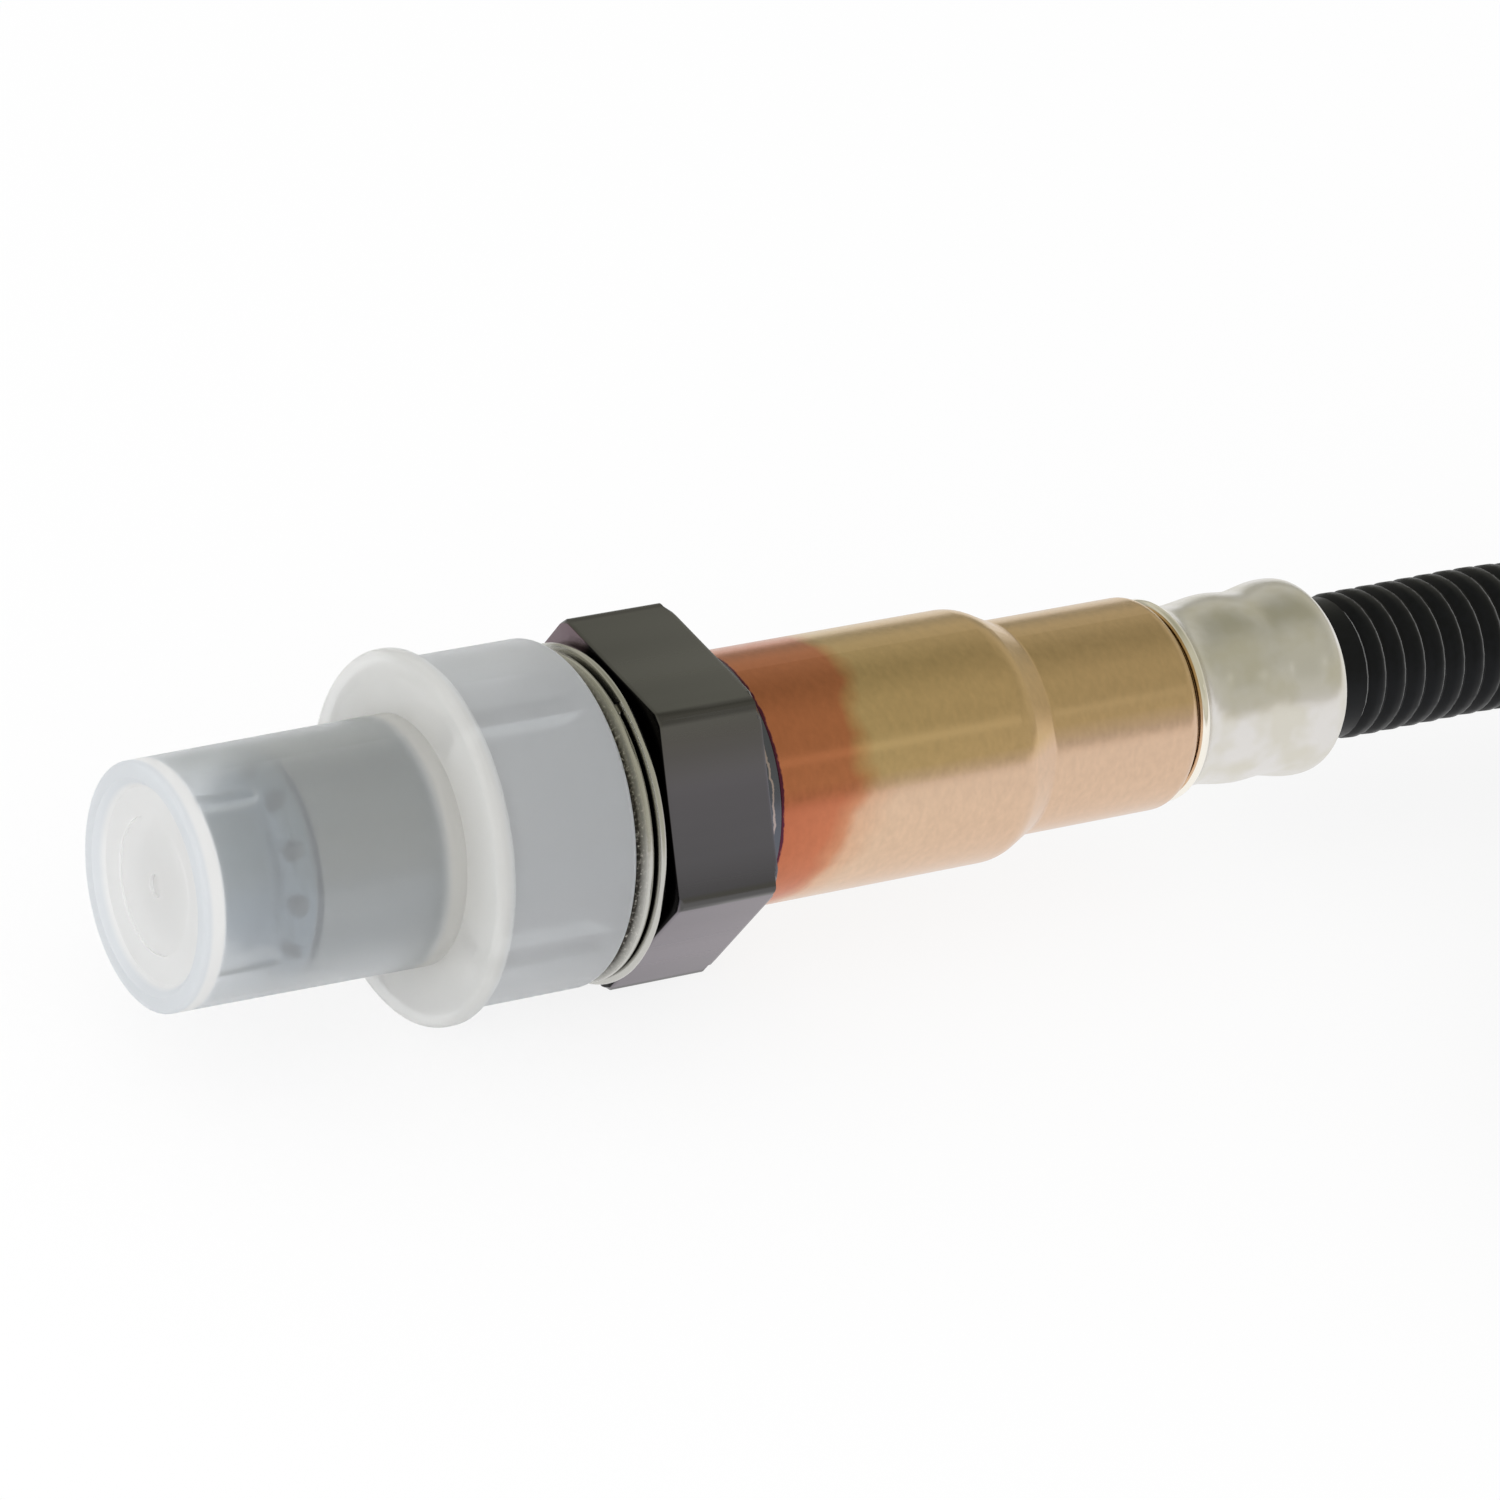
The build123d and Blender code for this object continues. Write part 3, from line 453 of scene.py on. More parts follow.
ring_turns = [0.75 * step for step in range(480)]
ring_rings = [[ring_point(x, r, turn) for turn in ring_turns] for x, r in RING_OUTLINE]
gasket = skin("sealing_ring", ring_rings, closed=True)
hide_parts("seat_gasket")
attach(gasket, "sensor")
print(f"{len(gasket.data.polygons)} faces, {max(r for x, r in RING_OUTLINE)} mm from the axis at the bead")

# %% [markdown]
# ## Crimp collar
# The collar is a short tube, pressed on to the sleeve and the lead by a ring of eight jaws at three
# places. Each jaw leaves a shallow flat, so the waist between two bulges is not quite round. The front
# edge is rolled over, and the rear edge is drawn in on to the conduit. A profile turned by a Screw
# modifier would be round everywhere, so the radius is worked out for each point.

# %% Collar with jaw marks
COLLAR_OUTLINE = (
    (46.0, 6.3), (45.78, 6.5), (45.72, 6.7), (45.74, 6.88), (45.82, 7.04), (45.94, 7.14), (46.1, 7.18),
    (46.26, 7.14), (46.42, 7.04), (46.6, 6.9), (46.9, 6.72), (47.3, 6.58), (47.8, 6.49), (48.3, 6.45),
    (48.8, 6.44), (49.3, 6.47), (49.8, 6.52), (50.3, 6.58), (50.8, 6.65), (51.3, 6.7), (51.8, 6.73),
    (52.3, 6.72), (52.8, 6.68), (53.3, 6.65), (53.8, 6.62), (54.3, 6.63), (54.8, 6.7), (55.3, 6.79),
    (55.8, 6.9), (56.3, 6.99), (56.8, 7.04), (57.3, 7.03), (57.7, 6.97), (58.0, 6.87), (58.25, 6.73),
    (58.5, 6.52), (58.7, 6.3), (58.84, 6.05), (58.85, 5.6), (58.6, 5.4), (52.0, 5.4),
)
JAWS = 8
JAW_TURN = 12
JAW_MARKS = ((48.6, 1.1, 0.07), (53.8, 0.8, 0.05), (57.0, 0.9, 0.03))


def collar_point(x, radius, turn):
    """Point of the collar: the jaws press flats of a given depth round three stations."""
    flat = 0.5 + 0.5 * math.cos(math.radians(JAWS * (turn - JAW_TURN)))
    for station, reach, deep in JAW_MARKS:
        radius -= deep * flat * math.exp(-(((x - station) / reach) ** 2))
    return around(x * MM, radius * MM, turn)


collar_turns = [2.0 * step for step in range(180)]
collar_rings = [[collar_point(x, r, turn) for turn in collar_turns] for x, r in COLLAR_OUTLINE]
collar = skin("crimp_tube", collar_rings, closed=True)
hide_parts("crimp_collar")
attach(collar, "sensor")
print(f"{JAWS} jaws, {len(JAW_MARKS)} rows of marks, {len(collar.data.polygons)} faces")

# %% [markdown]
# ## Coordinates in millimetres
# Every pattern is measured in millimetres on the part itself, so the scale of a noise is the number of
# its blotches to a millimetre. A stretch below 1 along an axis draws a pattern out along it, as drawing
# and rolling do. A band picks out one zone of a piece, such as a weld or a cut face, by its distance
# along an axis or from it. Most values of a noise lie between 0.3 and 0.7, so that span is stretched to
# the range of tones or gloss that is wanted. UV maps could carry the patterns, but every piece would have
# to be unwrapped first; the coordinates of the object need no unwrapping and run on from one face to the
# next.

# %% Millimetres and bands
NOISE_SPAN = {"From Min": 0.3, "From Max": 0.7}


def millimetre_space(tree, stretch=(1, 1, 1)):
    """Coordinates of the part in millimetres, stretched by a factor along each axis."""
    place = add(tree, "TexCoord", {})
    scale = [factor / MM for factor in stretch]
    return add(tree, "Mapping", {"Scale": scale}, {"Vector": place.outputs["Object"]})


def band(tree, value, start, end, blur):
    """1 where a value lies between start and end, fading over blur outside them."""
    rise = add(tree, "MapRange", {"From Min": start - blur, "From Max": start}, {"Value": value})
    fall = add(tree, "MapRange", {"From Min": end + blur, "From Max": end}, {"Value": value})
    return add(tree, "Math", {"operation": "MULTIPLY"}, {0: rise, 1: fall})


print("one unit of these coordinates is", MM, "m, so a noise of scale 0.5 has blotches about 2 mm wide")

# %% [markdown]
# ## Finish of the steel body
# The body is turned from drawn hexagon bar and carries a thin, dark protective layer. Drawing leaves
# faint streaks that run along the bar, so they lie along the axis on the flats. It is a metal, so its
# whole colour sits in the reflection, and the surface is a fine satin. The streaks are drawn as soft
# bands four to five millimetres wide, because single drawing lines would be too fine to show. The tone of
# the flats follows the height: the lower flats are painted lighter, a painted reflection of the white
# table. The corners are a flat, darker grey. The end face in front of the flats is painted nearly black,
# a painted shade close behind the sealing ring, and a purple patch on one side of it is painted light.
# The collar behind the flats is slate blue, as steel turns close to a weld, and a thin, ragged painted
# highlight runs round it. The zones could be separate materials on picked faces, but bands need no edge
# in the mesh and can fade.

# %% Dark drawn steel
STREAKS_PER_MM = 0.22
SCALE_PER_MM = 1.2
FLAT_HALF = 11.0
CORNER_BAND = (12.47, 13.0)
END_FACE = (-0.12, 0.05)
LIT_PATCH_SIDE = (3.7, 13)
WELD_COLLAR = (7.95, 13.4)
PAINTED_HIGHLIGHT_LINE = (9.45, 9.55)

dark_steel, tree = finish_named("drawn_steel_dark_passivated")
place = add(tree, "SeparateXYZ", {}, {"Vector": millimetre_space(tree)})
across = add(tree, "VectorMath", {"operation": "LENGTH"}, {0: millimetre_space(tree, (0, 1, 1))})
drawn = millimetre_space(tree, (0.04, 1, 1))
streak_look = {"Scale": STREAKS_PER_MM, "Detail": 2.0, "Roughness": 0.4}
streaks = add(tree, "TexNoise", streak_look, {"Vector": drawn})
# painted reflection: the tone of the flats follows the height, lighter on the lower flats that mirror the
# white table
level = add(tree, "MapRange", {"From Min": -FLAT_HALF, "From Max": FLAT_HALF}, {"Value": place.outputs["Z"]})
painted_flat_reflection = add(tree, "ValToRGB", {"stops": (
    (0.49, "#837c83"), (0.51, "#5e5d64"), (0.62, "#6c6b74"),
    (0.80, "#6f6d76"), (0.93, "#6c6a6b"), (1.0, "#6f6f6e"),
)}, {"Fac": level})
depth = add(tree, "MapRange", {**NOISE_SPAN, "To Min": 0.86, "To Max": 1.1}, {"Value": streaks})
tone = add(tree, "VectorMath", {"operation": "SCALE"}, {0: painted_flat_reflection, "Scale": depth})
edges = band(tree, across.outputs["Value"], *CORNER_BAND, 0.12)
dull = add(tree, "Mix", {"data_type": "RGBA", 7: "#5a5959"}, {"Factor": edges, 6: tone})
# painted shade: the end face close behind the sealing ring is made nearly black
face = band(tree, place.outputs["X"], *END_FACE, 0.04)
black = add(tree, "Mix", {"data_type": "RGBA", 7: "#151416"}, {"Factor": face, 6: dull.outputs[2]})
# painted light: a purple patch on one side of the end face, where it is lit
side = band(tree, place.outputs["Y"], *LIT_PATCH_SIDE, 0.9)
painted_lit_patch = add(tree, "Math", {"operation": "MULTIPLY"}, {0: face, 1: side})
purple = add(tree, "Mix", {"data_type": "RGBA", 7: "#75666c"}, {"Factor": painted_lit_patch, 6: black.outputs[2]})
zone = band(tree, place.outputs["X"], *WELD_COLLAR, 0.1)
slate = add(tree, "Mix", {"data_type": "RGBA", 7: "#62656e"}, {"Factor": zone, 6: purple.outputs[2]})
# painted highlight: a thin, ragged bright line round the weld collar
scale = add(tree, "TexNoise", {"Scale": SCALE_PER_MM, "Detail": 3.0}, {"Vector": millimetre_space(tree)})
ragged = add(tree, "Math", {"operation": "MULTIPLY_ADD", 1: 0.5}, {0: scale, 2: place.outputs["X"]})
line = band(tree, ragged, *PAINTED_HIGHLIGHT_LINE, 0.05)
weld = add(tree, "Mix", {"data_type": "RGBA", 7: "#b3a4a1"}, {"Factor": line, 6: slate.outputs[2]})
gloss = add(tree, "MapRange", {**NOISE_SPAN, "To Min": 0.24, "To Max": 0.30}, {"Value": streaks})
steel = add(tree, "BsdfPrincipled", {"Metallic": 1.0}, {"Base Color": weld.outputs[2], "Roughness": gloss})
add(tree, "OutputMaterial", {}, {"Surface": steel})
dress(dark_steel, housing)
print(dark_steel.name, "with a black end face and a slate-blue weld collar")

# %% [markdown]
# ## Transport cap
# The cap is moulded in natural low-density polyethylene, without pigment. Its wall is milky: light passes
# through, but crystals in the plastic scatter it on the way, so what touches the inside of the wall shows
# clearly and what stands further off is a soft blur. A rough transmission gives that blur. A share of
# milk, half diffuse and half translucent, whitens it. The share follows the thickness of the plastic
# along the cap: nearly opaque in the end disc with its rim, thin on the nose, thick in the flange and
# middling on the skirt. Faint flow lines from the moulding are drawn about three millimetres apart.
# Scattering inside a volume would be closer to what the plastic does, but it takes many more samples
# before it is free of noise.

# %% Milky polyethylene
FLOW_PER_MM = 0.3
CAP_FRONT = -34.0
MILK_FORWARD = 0.5

polyethylene, tree = finish_named("natural_polyethylene_moulded")
drawn = millimetre_space(tree, (0.3, 1, 1))
flow = add(tree, "TexNoise", {"Scale": FLOW_PER_MM, "Detail": 2.0}, {"Vector": drawn})
tone = add(tree, "ValToRGB", {"stops": ((0.3, "#fafdff"), (0.7, "#fdfeff"))}, {"Fac": flow})
wax_look = {"Roughness": 0.28, "IOR": 1.51, "Transmission Weight": 0.94}
wax = add(tree, "BsdfPrincipled", wax_look, {"Base Color": tone})
station = add(tree, "SeparateXYZ", {}, {"Vector": millimetre_space(tree)})
along = add(tree, "MapRange", {"From Min": CAP_FRONT, "From Max": 0.0}, {"Value": station.outputs["X"]})
veil = add(tree, "ValToRGB", {"stops": (
    (0.028, "#e0e4e8"), (0.036, "#fdfbf8"), (0.056, "#fdfbf8"), (0.066, "#e8f1fa"),
    (0.53, "#e8f1fa"), (0.555, "#fffdf7"), (0.605, "#fffdf7"), (0.625, "#f2f5f8"),
)}, {"Fac": along})
share = add(tree, "ValToRGB", {"stops": (
    (0.028, 0.92), (0.036, 0.84), (0.056, 0.84), (0.064, 0.17),
    (0.53, 0.17), (0.555, 0.61), (0.605, 0.61), (0.625, 0.39),
)}, {"Fac": along})
forward = add(tree, "BsdfTranslucent", {"Color": "#fdfeff"})
back = add(tree, "BsdfDiffuse", {}, {"Color": veil})
milk = add(tree, "MixShader", {0: MILK_FORWARD}, {1: forward, 2: back})
wall = add(tree, "MixShader", {}, {0: share, 1: wax, 2: milk})
add(tree, "OutputMaterial", {}, {"Surface": wall})
dress(polyethylene, "transport_cap")
print(polyethylene.name, "with milk shares", [round(stop.color[0], 2) for stop in share.color_ramp.elements])

# %% [markdown]
# ## Protection tubes
# The tip is covered by two tubes that are deep-drawn from stainless sheet. Drawing leaves faint lines
# along them; the real ones are finer, and they are drawn about 0.7 mm apart so that they show. The front
# of the outer tube is bluer than the wall behind it, and a dark ring is painted where that wall starts to
# turn in over the holes, a painted shade at the bend. The retaining ring over the powder and the clip
# round the contact holder are stamped from the same kind of sheet. An Anisotropic value could stretch the
# highlights across those lines, but behind the milky wall nobody would see that, so a plain roughness is
# enough.

# %% Drawn stainless
LINES_PER_MM = 1.5
NOSE_ZONE = (-40, -25.0)
SHADED_BEND_RING = (-24.75, -24.5)

stainless, tree = finish_named("stainless_steel_deep_drawn")
drawn = millimetre_space(tree, (0.08, 1, 1))
lines = add(tree, "TexNoise", {"Scale": LINES_PER_MM, "Detail": 3.0}, {"Vector": drawn})
tone = add(tree, "ValToRGB", {"stops": ((0.35, "#9c9c9a"), (0.65, "#a8a7a4"))}, {"Fac": lines})
place = add(tree, "SeparateXYZ", {}, {"Vector": millimetre_space(tree)})
tip = band(tree, place.outputs["X"], *NOSE_ZONE, 0.2)
nose = add(tree, "Mix", {"data_type": "RGBA", 7: "#86929d"}, {"Factor": tip, 6: tone})
# painted shade: a dark ring where the wall bends in over the holes
bend_shade = band(tree, place.outputs["X"], *SHADED_BEND_RING, 0.2)
ring = add(tree, "Mix", {"data_type": "RGBA", 7: "#1a1b20"}, {"Factor": bend_shade, 6: nose.outputs[2]})
steel = add(tree, "BsdfPrincipled", {"Metallic": 1.0, "Roughness": 0.3}, {"Base Color": ring.outputs[2]})
add(tree, "OutputMaterial", {}, {"Surface": steel})
dress(stainless, "outer_shield", "inner_shield", "retaining_ring", "holder_clip")
print(stainless.name, "with the dark ring from", SHADED_BEND_RING[0], "to", SHADED_BEND_RING[1], "mm")

# %% [markdown]
# ## Finish of the sealing ring
# The ring is folded from one strip of soft stainless sheet, so that it is crushed to fit when the sensor
# is screwed in. The bent edges are bright, and the lip in front is rougher, darker and speckled with grit
# about 0.2 mm wide. One band along the axis keeps the grit to that lip, and another paints shade into the
# bottom of the groove. The grit could be left to the mesh alone, but its points lie hardly closer together
# than the grains, so the colour carries it.

# %% Folded ring
GRIT_PER_MM = 4.5
ROUGH_LIP = (-3.0, -2.3)
SHADED_GROOVE_BAND = (-1.25, -1.07)

ring_steel, tree = finish_named("stainless_sheet_folded")
place = add(tree, "SeparateXYZ", {}, {"Vector": millimetre_space(tree)})
grit_look = {"Scale": GRIT_PER_MM, "Detail": 4.0, "Roughness": 0.7}
grit = add(tree, "TexNoise", grit_look, {"Vector": millimetre_space(tree)})
speckle = ((0.45, "#35332f"), (0.58, "#5d5a55"), (0.70, "#d3d0c8"))
rough = add(tree, "ValToRGB", {"stops": speckle}, {"Fac": grit})
front = band(tree, place.outputs["X"], *ROUGH_LIP, 0.55)
# painted shade in the bottom of the groove between the beads
groove_shade = band(tree, place.outputs["X"], *SHADED_GROOVE_BAND, 0.04)
tone = add(tree, "Mix", {"data_type": "RGBA", 6: "#c9c8c3"}, {"Factor": front, 7: rough})
dark = add(tree, "Mix", {"data_type": "RGBA", 7: "#26241f"}, {"Factor": groove_shade, 6: tone.outputs[2]})
gloss = add(tree, "MapRange", {"To Min": 0.24, "To Max": 0.40}, {"Value": front})
steel = add(tree, "BsdfPrincipled", {"Metallic": 1.0}, {"Base Color": dark.outputs[2], "Roughness": gloss})
add(tree, "OutputMaterial", {}, {"Surface": steel})
dress(ring_steel, gasket)
print(ring_steel.name, "on", gasket.name)

# %% [markdown]
# ## Heat-tinted sleeve
# The sleeve is a bright stainless pressing. The heat of its weld to the body grew a thin oxide film,
# which colours the metal by interference: copper next to the weld, and straw to gold further away. So the
# tint follows the distance from the weld, and a noise with waves about six millimetres wide makes its
# edge wander. On the underside the copper zone is shorter, and from about 3 mm above the axis downwards
# the gold is painted paler, a painted reflection of the white table. A ragged wine-red fringe marks the
# weld itself. The surface is finely tumbled, which gives it a soft, slightly grainy sheen; real tumbling
# marks are finer than the half millimetre that they are drawn with here, so that they show. The colours
# could be worked out from the thickness of the film, but a ramp lets each zone be matched by itself.

# %% Tinted sleeve
WAVES_PER_MM = 0.16
WAVE_REACH = 6.0
TINT_FROM = 10.0
TINT_TO = 40.0
TURNS_GOLD = 0.337
UNDERSIDE_SHIFT = 6.5
GRAIN_PER_MM = 2.2
WELD_FRINGE = (9.0, 10.0)

tinted, tree = finish_named("stainless_steel_heat_tinted")
waves = millimetre_space(tree, (0.6, 1, 1))
wander = add(tree, "TexNoise", {"Scale": WAVES_PER_MM, "Detail": 3.0}, {"Vector": waves})
station = add(tree, "SeparateXYZ", {}, {"Vector": millimetre_space(tree)})
moved = add(tree, "Math", {"operation": "MULTIPLY_ADD", 1: WAVE_REACH}, {0: wander, 2: station.outputs["X"]})
under_look = {"From Min": 3.0, "From Max": -9.0, "To Max": UNDERSIDE_SHIFT}
under = add(tree, "MapRange", under_look, {"Value": station.outputs["Z"]})
heat = add(tree, "Math", {"operation": "ADD"}, {0: moved, 1: under})
along = add(tree, "MapRange", {"From Min": TINT_FROM, "From Max": TINT_TO}, {"Value": heat})
above = add(tree, "ValToRGB", {"stops": (
    (0.10, "#c97f59"), (0.31, "#cb825b"), (TURNS_GOLD, "#cf9f6e"),
    (0.375, "#d6b886"), (0.70, "#d8b888"), (1.0, "#d6b689"),
)}, {"Fac": along})
# painted reflection: from about 3 mm above the axis down, a paler ramp takes over, as the underside mirrors
# the white table
tint_with_table_reflection = add(tree, "ValToRGB", {"stops": (
    (0.10, "#c07152"), (0.28, "#ca7c5b"), (0.325, "#d29370"),
    (0.36, "#dfb596"), (0.44, "#e2c2a6"), (1.0, "#e0c0a5"),
)}, {"Fac": along})
upper = add(tree, "MapRange", {"From Min": 3.0, "From Max": 4.2}, {"Value": station.outputs["Z"]})
tint = add(tree, "Mix", {"data_type": "RGBA"}, {"Factor": upper, 6: tint_with_table_reflection, 7: above})
tumbled = millimetre_space(tree, (1, 0.6, 0.6))
grain_look = {"Scale": GRAIN_PER_MM, "Detail": 4.0, "Roughness": 0.6}
grain = add(tree, "TexNoise", grain_look, {"Vector": tumbled})
depth = add(tree, "MapRange", {**NOISE_SPAN, "To Min": 0.94, "To Max": 1.04}, {"Value": grain})
tone = add(tree, "VectorMath", {"operation": "SCALE"}, {0: tint.outputs[2], "Scale": depth})
ragged = add(tree, "Math", {"operation": "MULTIPLY_ADD", 1: -0.4}, {0: grain, 2: station.outputs["X"]})
fringe = band(tree, ragged, *WELD_FRINGE, 0.1)
welded = add(tree, "Mix", {"data_type": "RGBA", 7: "#5c2c3e"}, {"Factor": fringe, 6: tone})
gloss = add(tree, "MapRange", {**NOISE_SPAN, "To Min": 0.20, "To Max": 0.26}, {"Value": grain})
steel = add(tree, "BsdfPrincipled", {"Metallic": 1.0}, {"Base Color": welded.outputs[2], "Roughness": gloss})
add(tree, "OutputMaterial", {}, {"Surface": steel})
dress(tinted, "shell_sleeve")
turn_x = TINT_FROM + TURNS_GOLD * (TINT_TO - TINT_FROM) - WAVE_REACH / 2
print(f"{tinted.name}: on top, copper turns to gold about {turn_x:.0f} mm behind the seat")

# %% [markdown]
# ## Finish of the crimp collar
# The collar is a plain steel tube with a bright zinc coat, pressed at three places by a ring of jaws.
# Pressing leaves soft waves in it, about three millimetres long, and the coat makes the surface silvery
# and slightly clouded. The rolled lip in front is smoother than the rest, and its colour is painted
# brighter, a painted highlight along the lip. The waves could be modelled as well, but they are so shallow
# that a bump, which only tilts the highlights, looks the same.

# %% Collar
CLOUDS_PER_MM = 0.35
DENT_DEPTH = 0.25 * MM
LIP_ZONE = (45.5, 46.3)

collar_steel, tree = finish_named("zinc_plated_steel_crimped")
cloud = add(tree, "TexNoise", {"Scale": CLOUDS_PER_MM, "Detail": 2.0}, {"Vector": millimetre_space(tree)})
tone = add(tree, "ValToRGB", {"stops": ((0.38, "#dfdbd0"), (0.62, "#e8e5e2"))}, {"Fac": cloud})
dents = add(tree, "Bump", {"Strength": 0.25, "Distance": DENT_DEPTH}, {"Height": cloud})
place = add(tree, "SeparateXYZ", {}, {"Vector": millimetre_space(tree)})
lip = band(tree, place.outputs["X"], *LIP_ZONE, 0.1)
# painted highlight: the rolled lip's colour is made lighter than the rest of the collar
tone_with_lip_highlight = add(tree, "Mix", {"data_type": "RGBA", 7: "#fffaf0"}, {"Factor": lip, 6: tone}).outputs[2]
gloss = add(tree, "MapRange", {"To Min": 0.27, "To Max": 0.12}, {"Value": lip})
surface = {"Base Color": tone_with_lip_highlight, "Roughness": gloss, "Normal": dents}
steel = add(tree, "BsdfPrincipled", {"Metallic": 1.0}, surface)
add(tree, "OutputMaterial", {}, {"Surface": steel})
dress(collar_steel, collar)
print(collar_steel.name, "with its bright lip from", LIP_ZONE[0], "to", LIP_ZONE[1], "mm")

# %% [markdown]
# ## Plastics of the lead and the plug
# The conduit is blown from black polyamide and its skin is dull. The plug is moulded in the same family
# of plastic, filled with glass fibre, which makes it a little greyer and finely textured. The strap is
# unfilled nylon, smooth and shinier. One small loop makes the three, since only their colour, gloss and
# grain differ. The grain is given in blotches to a millimetre. Each could have a cell of its own, but a
# table shows at a glance how they differ.

# %% Black plastics
plastics = {}
nylon_look = {"IOR": 1.53, "Specular IOR Level": 0.16}
for name, dark, light, scale, rough_low, rough_high in (
    ("black_polyamide_blown", "#06080b", "#0a0c10", 2.0, 0.34, 0.42),
    ("glass_filled_polyamide_moulded", "#17181a", "#1f2022", 6.0, 0.42, 0.55),
    ("black_nylon_moulded", "#121314", "#161718", 3.0, 0.28, 0.36),
):
    plastics[name], tree = finish_named(name)
    grain = add(tree, "TexNoise", {"Scale": scale, "Detail": 3.0}, {"Vector": millimetre_space(tree)})
    tone = add(tree, "ValToRGB", {"stops": ((0.35, dark), (0.65, light))}, {"Fac": grain})
    span = {**NOISE_SPAN, "To Min": rough_low, "To Max": rough_high}
    gloss = add(tree, "MapRange", span, {"Value": grain})
    body = add(tree, "BsdfPrincipled", nylon_look, {"Base Color": tone, "Roughness": gloss})
    add(tree, "OutputMaterial", {}, {"Surface": body})
dress(plastics["black_polyamide_blown"], conduit)
dress(plastics["glass_filled_polyamide_moulded"], "connector_rear_cover", "connector_housing")
dress(plastics["black_nylon_moulded"], "coil_tie")
print(list(plastics))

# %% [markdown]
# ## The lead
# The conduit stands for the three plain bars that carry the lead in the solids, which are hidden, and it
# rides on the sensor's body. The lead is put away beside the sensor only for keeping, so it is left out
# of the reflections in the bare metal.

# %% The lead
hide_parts("conduit_run", "conduit_coil", "conduit_tail")
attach(conduit, "sensor")
on_lead = [nodes[name] for name in nodes if name.startswith("connector_") or name == "coil_tie"]
for piece in (conduit, *on_lead):
    piece.visible_glossy = False

# %% [markdown]
# ## Inside: ceramics and powder
# The element is a strip of zirconia, fired dense and almost white. Two bushes of steatite hold it, cast
# and fired with a chalky skin, and pressed talc between them seals the exhaust out. The contact holder is
# steatite too. They are all dull and pale; what tells them apart is the tint and the size of the grain,
# given in blotches to a millimetre. A little light below the surface would suit the zirconia, but these
# pieces are closed in, so a plain surface serves.

# %% Ceramics
bushes = ["front_insulator", "rear_insulator", "contact_holder_upper", "contact_holder_lower"]
for name, dark, light, scale, roughness, pieces in (
    ("zirconia_fired", "#e4e0d6", "#efece4", 4.0, 0.35, ["sensing_element"]),
    ("steatite_fired", "#d8d2c4", "#e6e1d6", 1.5, 0.65, bushes),
    ("talc_pressed", "#b9b8b0", "#cfcec7", 3.0, 0.9, ["talc_packing"]),
):
    ceramic, tree = finish_named(name)
    grain = add(tree, "TexNoise", {"Scale": scale, "Detail": 4.0}, {"Vector": millimetre_space(tree)})
    tone = add(tree, "ValToRGB", {"stops": ((0.35, dark), (0.65, light))}, {"Fac": grain})
    body = add(tree, "BsdfPrincipled", {"Roughness": roughness, "IOR": 1.6}, {"Base Color": tone})
    add(tree, "OutputMaterial", {}, {"Surface": body})
    dress(ceramic, *pieces)
    print(name, "on", len(pieces), "pieces")

# %% [markdown]
# ## Contacts, wires, seals and terminals
# The contacts are nickel strip, the plug's blades are tinned brass, both rolled, with faint lines along
# them. The wires have sleeves of white, grey and black fluoroplastic, a waxy plastic that stands heat.
# The seals are rubber: black fluororubber in the sensor and red-brown silicone in the plug, both dull.
# The plug's lock is a coloured plastic clip, so that a fitter sees at a glance whether it is closed. All
# of these are small and mostly hidden, so one loop over a table gives each its own colours, gloss and
# stretch of the grain.

# %% Small parts
contacts = [f"contact_{number}" for number in (1, 2, 3, 4)]
blades = [f"connector_terminal_{number}" for number in (1, 2, 3, 4)]
SMALL_GRAIN_PER_MM = 2.5
for name, dark, light, metallic, roughness, stretch, pieces in (
    ("nickel_strip_rolled", "#b3aca0", "#c4beb3", 1.0, 0.28, (0.1, 1, 1), contacts),
    ("tinned_brass_stamped", "#bdbdb9", "#cfcfcc", 1.0, 0.25, (0.1, 1, 1), blades),
    ("fluoroplastic_white", "#e3e2dd", "#efeeea", 0.0, 0.4, (0.3, 1, 1), ["lead_wire_1", "lead_wire_2"]),
    ("fluoroplastic_grey", "#7d7f81", "#8b8d8f", 0.0, 0.4, (0.3, 1, 1), ["lead_wire_3"]),
    ("fluoroplastic_black", "#141416", "#1d1d20", 0.0, 0.4, (0.3, 1, 1), ["lead_wire_4"]),
    ("fluororubber_moulded", "#1a1a1b", "#242425", 0.0, 0.75, (1, 1, 1), ["wire_seal"]),
    ("silicone_red_brown", "#8a4632", "#96503a", 0.0, 0.6, (1, 1, 1), ["connector_wire_seal"]),
    ("acetal_violet_grey", "#4d4a63", "#57546d", 0.0, 0.45, (1, 1, 1), ["connector_lock"]),
):
    finish, tree = finish_named(name)
    drawn = millimetre_space(tree, stretch)
    grain = add(tree, "TexNoise", {"Scale": SMALL_GRAIN_PER_MM, "Detail": 3.0}, {"Vector": drawn})
    tone = add(tree, "ValToRGB", {"stops": ((0.35, dark), (0.65, light))}, {"Fac": grain})
    body = add(tree, "BsdfPrincipled", {"Metallic": metallic, "Roughness": roughness}, {"Base Color": tone})
    add(tree, "OutputMaterial", {}, {"Surface": body})
    dress(finish, *pieces)
    print(name, "on", len(pieces), "pieces")

# %% [markdown]
# ## Table
# The part lies on a sheet of white paper that runs on beyond the picture. Seen directly, in a reflection
# or through the cap the paper is plain white, and it keeps a soft shadow, because a part of it stays an
# ordinary white surface. For all other light it is only that surface. A Light Path node tells the kinds
# of ray apart. Stronger lamps could make the paper white too, but they would wash out the part.

# %% White paper
PAPER_SIZE = 8
GLOW_SHARE = 0.85

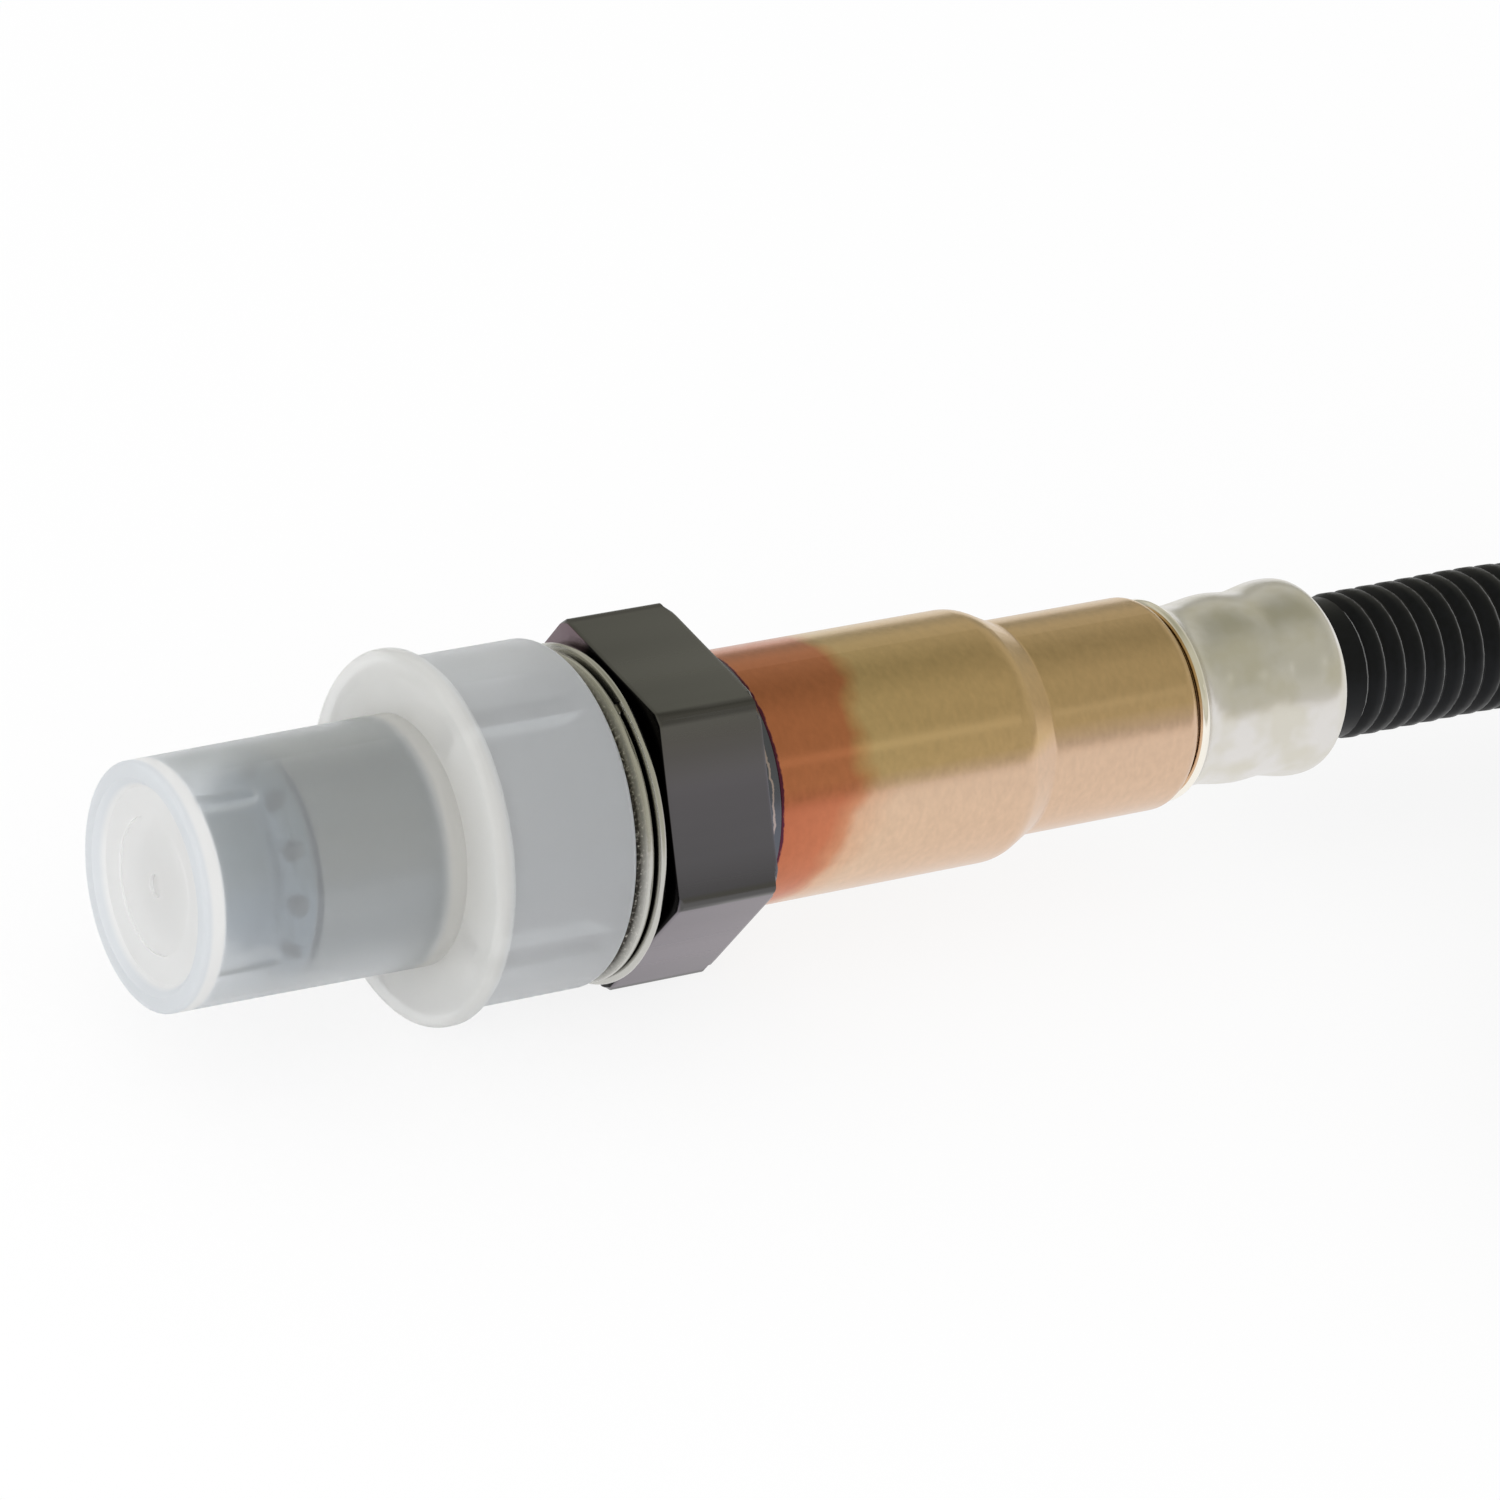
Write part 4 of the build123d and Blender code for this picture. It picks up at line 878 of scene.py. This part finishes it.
bpy.ops.mesh.primitive_plane_add(size=PAPER_SIZE, location=(0, 0, FLOOR))
table = bpy.context.object
table.name = "table"
paper, tree = finish_named("white_paper_sweep")
rays = add(tree, "LightPath", {})
seen = rays.outputs["Is Camera Ray"]
for kind in ("Is Glossy Ray", "Is Transmission Ray"):
    seen = add(tree, "Math", {"operation": "MAXIMUM"}, {0: seen, 1: rays.outputs[kind]})
share = add(tree, "Math", {"operation": "MULTIPLY", 1: GLOW_SHARE}, {0: seen})
diffuse = add(tree, "BsdfDiffuse", {"Color": "#f4f4f4"})
glow = add(tree, "Emission", {"Color": "#ffffff", "Strength": 1.0})
mixed = add(tree, "MixShader", {}, {0: share, 1: diffuse, 2: glow})
add(tree, "OutputMaterial", {}, {"Surface": mixed})
dress(paper, table)
print("table at", round(FLOOR / MM, 2), "mm")

# %% [markdown]
# ## Light
# The studio is a white tent, and its even white light does nearly all the lighting. In the bare metal,
# though, the cloth shows as what it is: white close to the table, greyer and faintly green above, lighter
# again where an opening overhead faces the camera's side, and grey low down on the far side. So rays that
# a surface has mirrored at least once see a grey ramp over the height, and all the others see white.
# Large lamps on all sides could light the part as evenly, but each would show as a hard-edged patch in
# the metal.

# %% Tent
world = bpy.data.worlds.new("studio")
bpy.context.scene.world = world
world.use_nodes = True
tree = world.node_tree
tree.nodes.clear()
place = add(tree, "TexCoord", {})
height = add(tree, "SeparateXYZ", {}, {"Vector": place.outputs["Generated"]})
sky = add(tree, "ValToRGB", {"stops": (
    (0.0, "#f4f0ee"), (0.06, "#dcd9d2"), (0.12, "#b8b6ab"),
    (0.2, "#c8c6b9"), (0.38, "#c9c7b9"), (0.8, "#9d9c8b"),
)}, {"Fac": height.outputs["Z"]})
overhead = add(tree, "MapRange", {"From Min": 0.5, "From Max": 0.75}, {"Value": height.outputs["Z"]})
near_side = add(tree, "MapRange", {"From Min": 0.32, "From Max": -0.15}, {"Value": height.outputs["Y"]})
opening = add(tree, "Math", {"operation": "MULTIPLY"}, {0: overhead, 1: near_side})
lit = add(tree, "Mix", {"data_type": "RGBA", 7: "#bbb9a8"}, {"Factor": opening, 6: sky})
far_side = add(tree, "MapRange", {"From Min": 0.2, "From Max": 0.6}, {"Value": height.outputs["Y"]})
low = add(tree, "MapRange", {"From Min": 0.35, "From Max": 0.15}, {"Value": height.outputs["Z"]})
behind = add(tree, "Math", {"operation": "MULTIPLY"}, {0: far_side, 1: low})
cloth = add(tree, "Mix", {"data_type": "RGBA", 7: "#a5a498"}, {"Factor": behind, 6: lit.outputs[2]})
rays = add(tree, "LightPath", {})
mirrored = add(tree, "Math", {"operation": "MINIMUM", 1: 1.0}, {0: rays.outputs["Glossy Depth"]})
tent = add(tree, "Mix", {"data_type": "RGBA", 6: "#ffffff"}, {"Factor": mirrored, 7: cloth.outputs[2]})
back = add(tree, "Background", {"Strength": 1.0}, {"Color": tent.outputs[2]})
add(tree, "OutputWorld", {}, {"Surface": back})
print("tent in place,", len(sky.color_ramp.elements), "steps of grey from the table up")

# %% [markdown]
# ## Lamps
# Two lamps help the tent. A weak key lamp on the right draws the few fine highlights in the metal. A soft
# front lamp lifts the end of the cap; it is kept out of reflections, since it would burn a stripe into
# every tube. Neither is seen through the cap. Both point at the sleeve.

# %% Lamps
LIT_POINT = Vector((0.02, 0, 0))


def lamp(name, place, size, watts):
    """Square area lamp at a place, turned to the lit point."""
    light = bpy.data.lights.new(name, "AREA")
    light.size, light.energy = size, watts
    holder = bpy.data.objects.new(name, light)
    holder.location = place
    holder.rotation_mode = "QUATERNION"
    holder.rotation_quaternion = (LIT_POINT - Vector(place)).to_track_quat("-Z", "Y")
    bpy.context.scene.collection.objects.link(holder)
    return holder


key = lamp("key_lamp", (0.45, -0.55, 0.50), 0.08, 0.014)
front = lamp("front_softbox", (-0.55, -0.25, 0.20), 0.4, 1.3)
front.visible_glossy = False
for light in (key, front):
    light.visible_transmission = False
print("two lamps of", key.data.energy, "and", front.data.energy, "W")
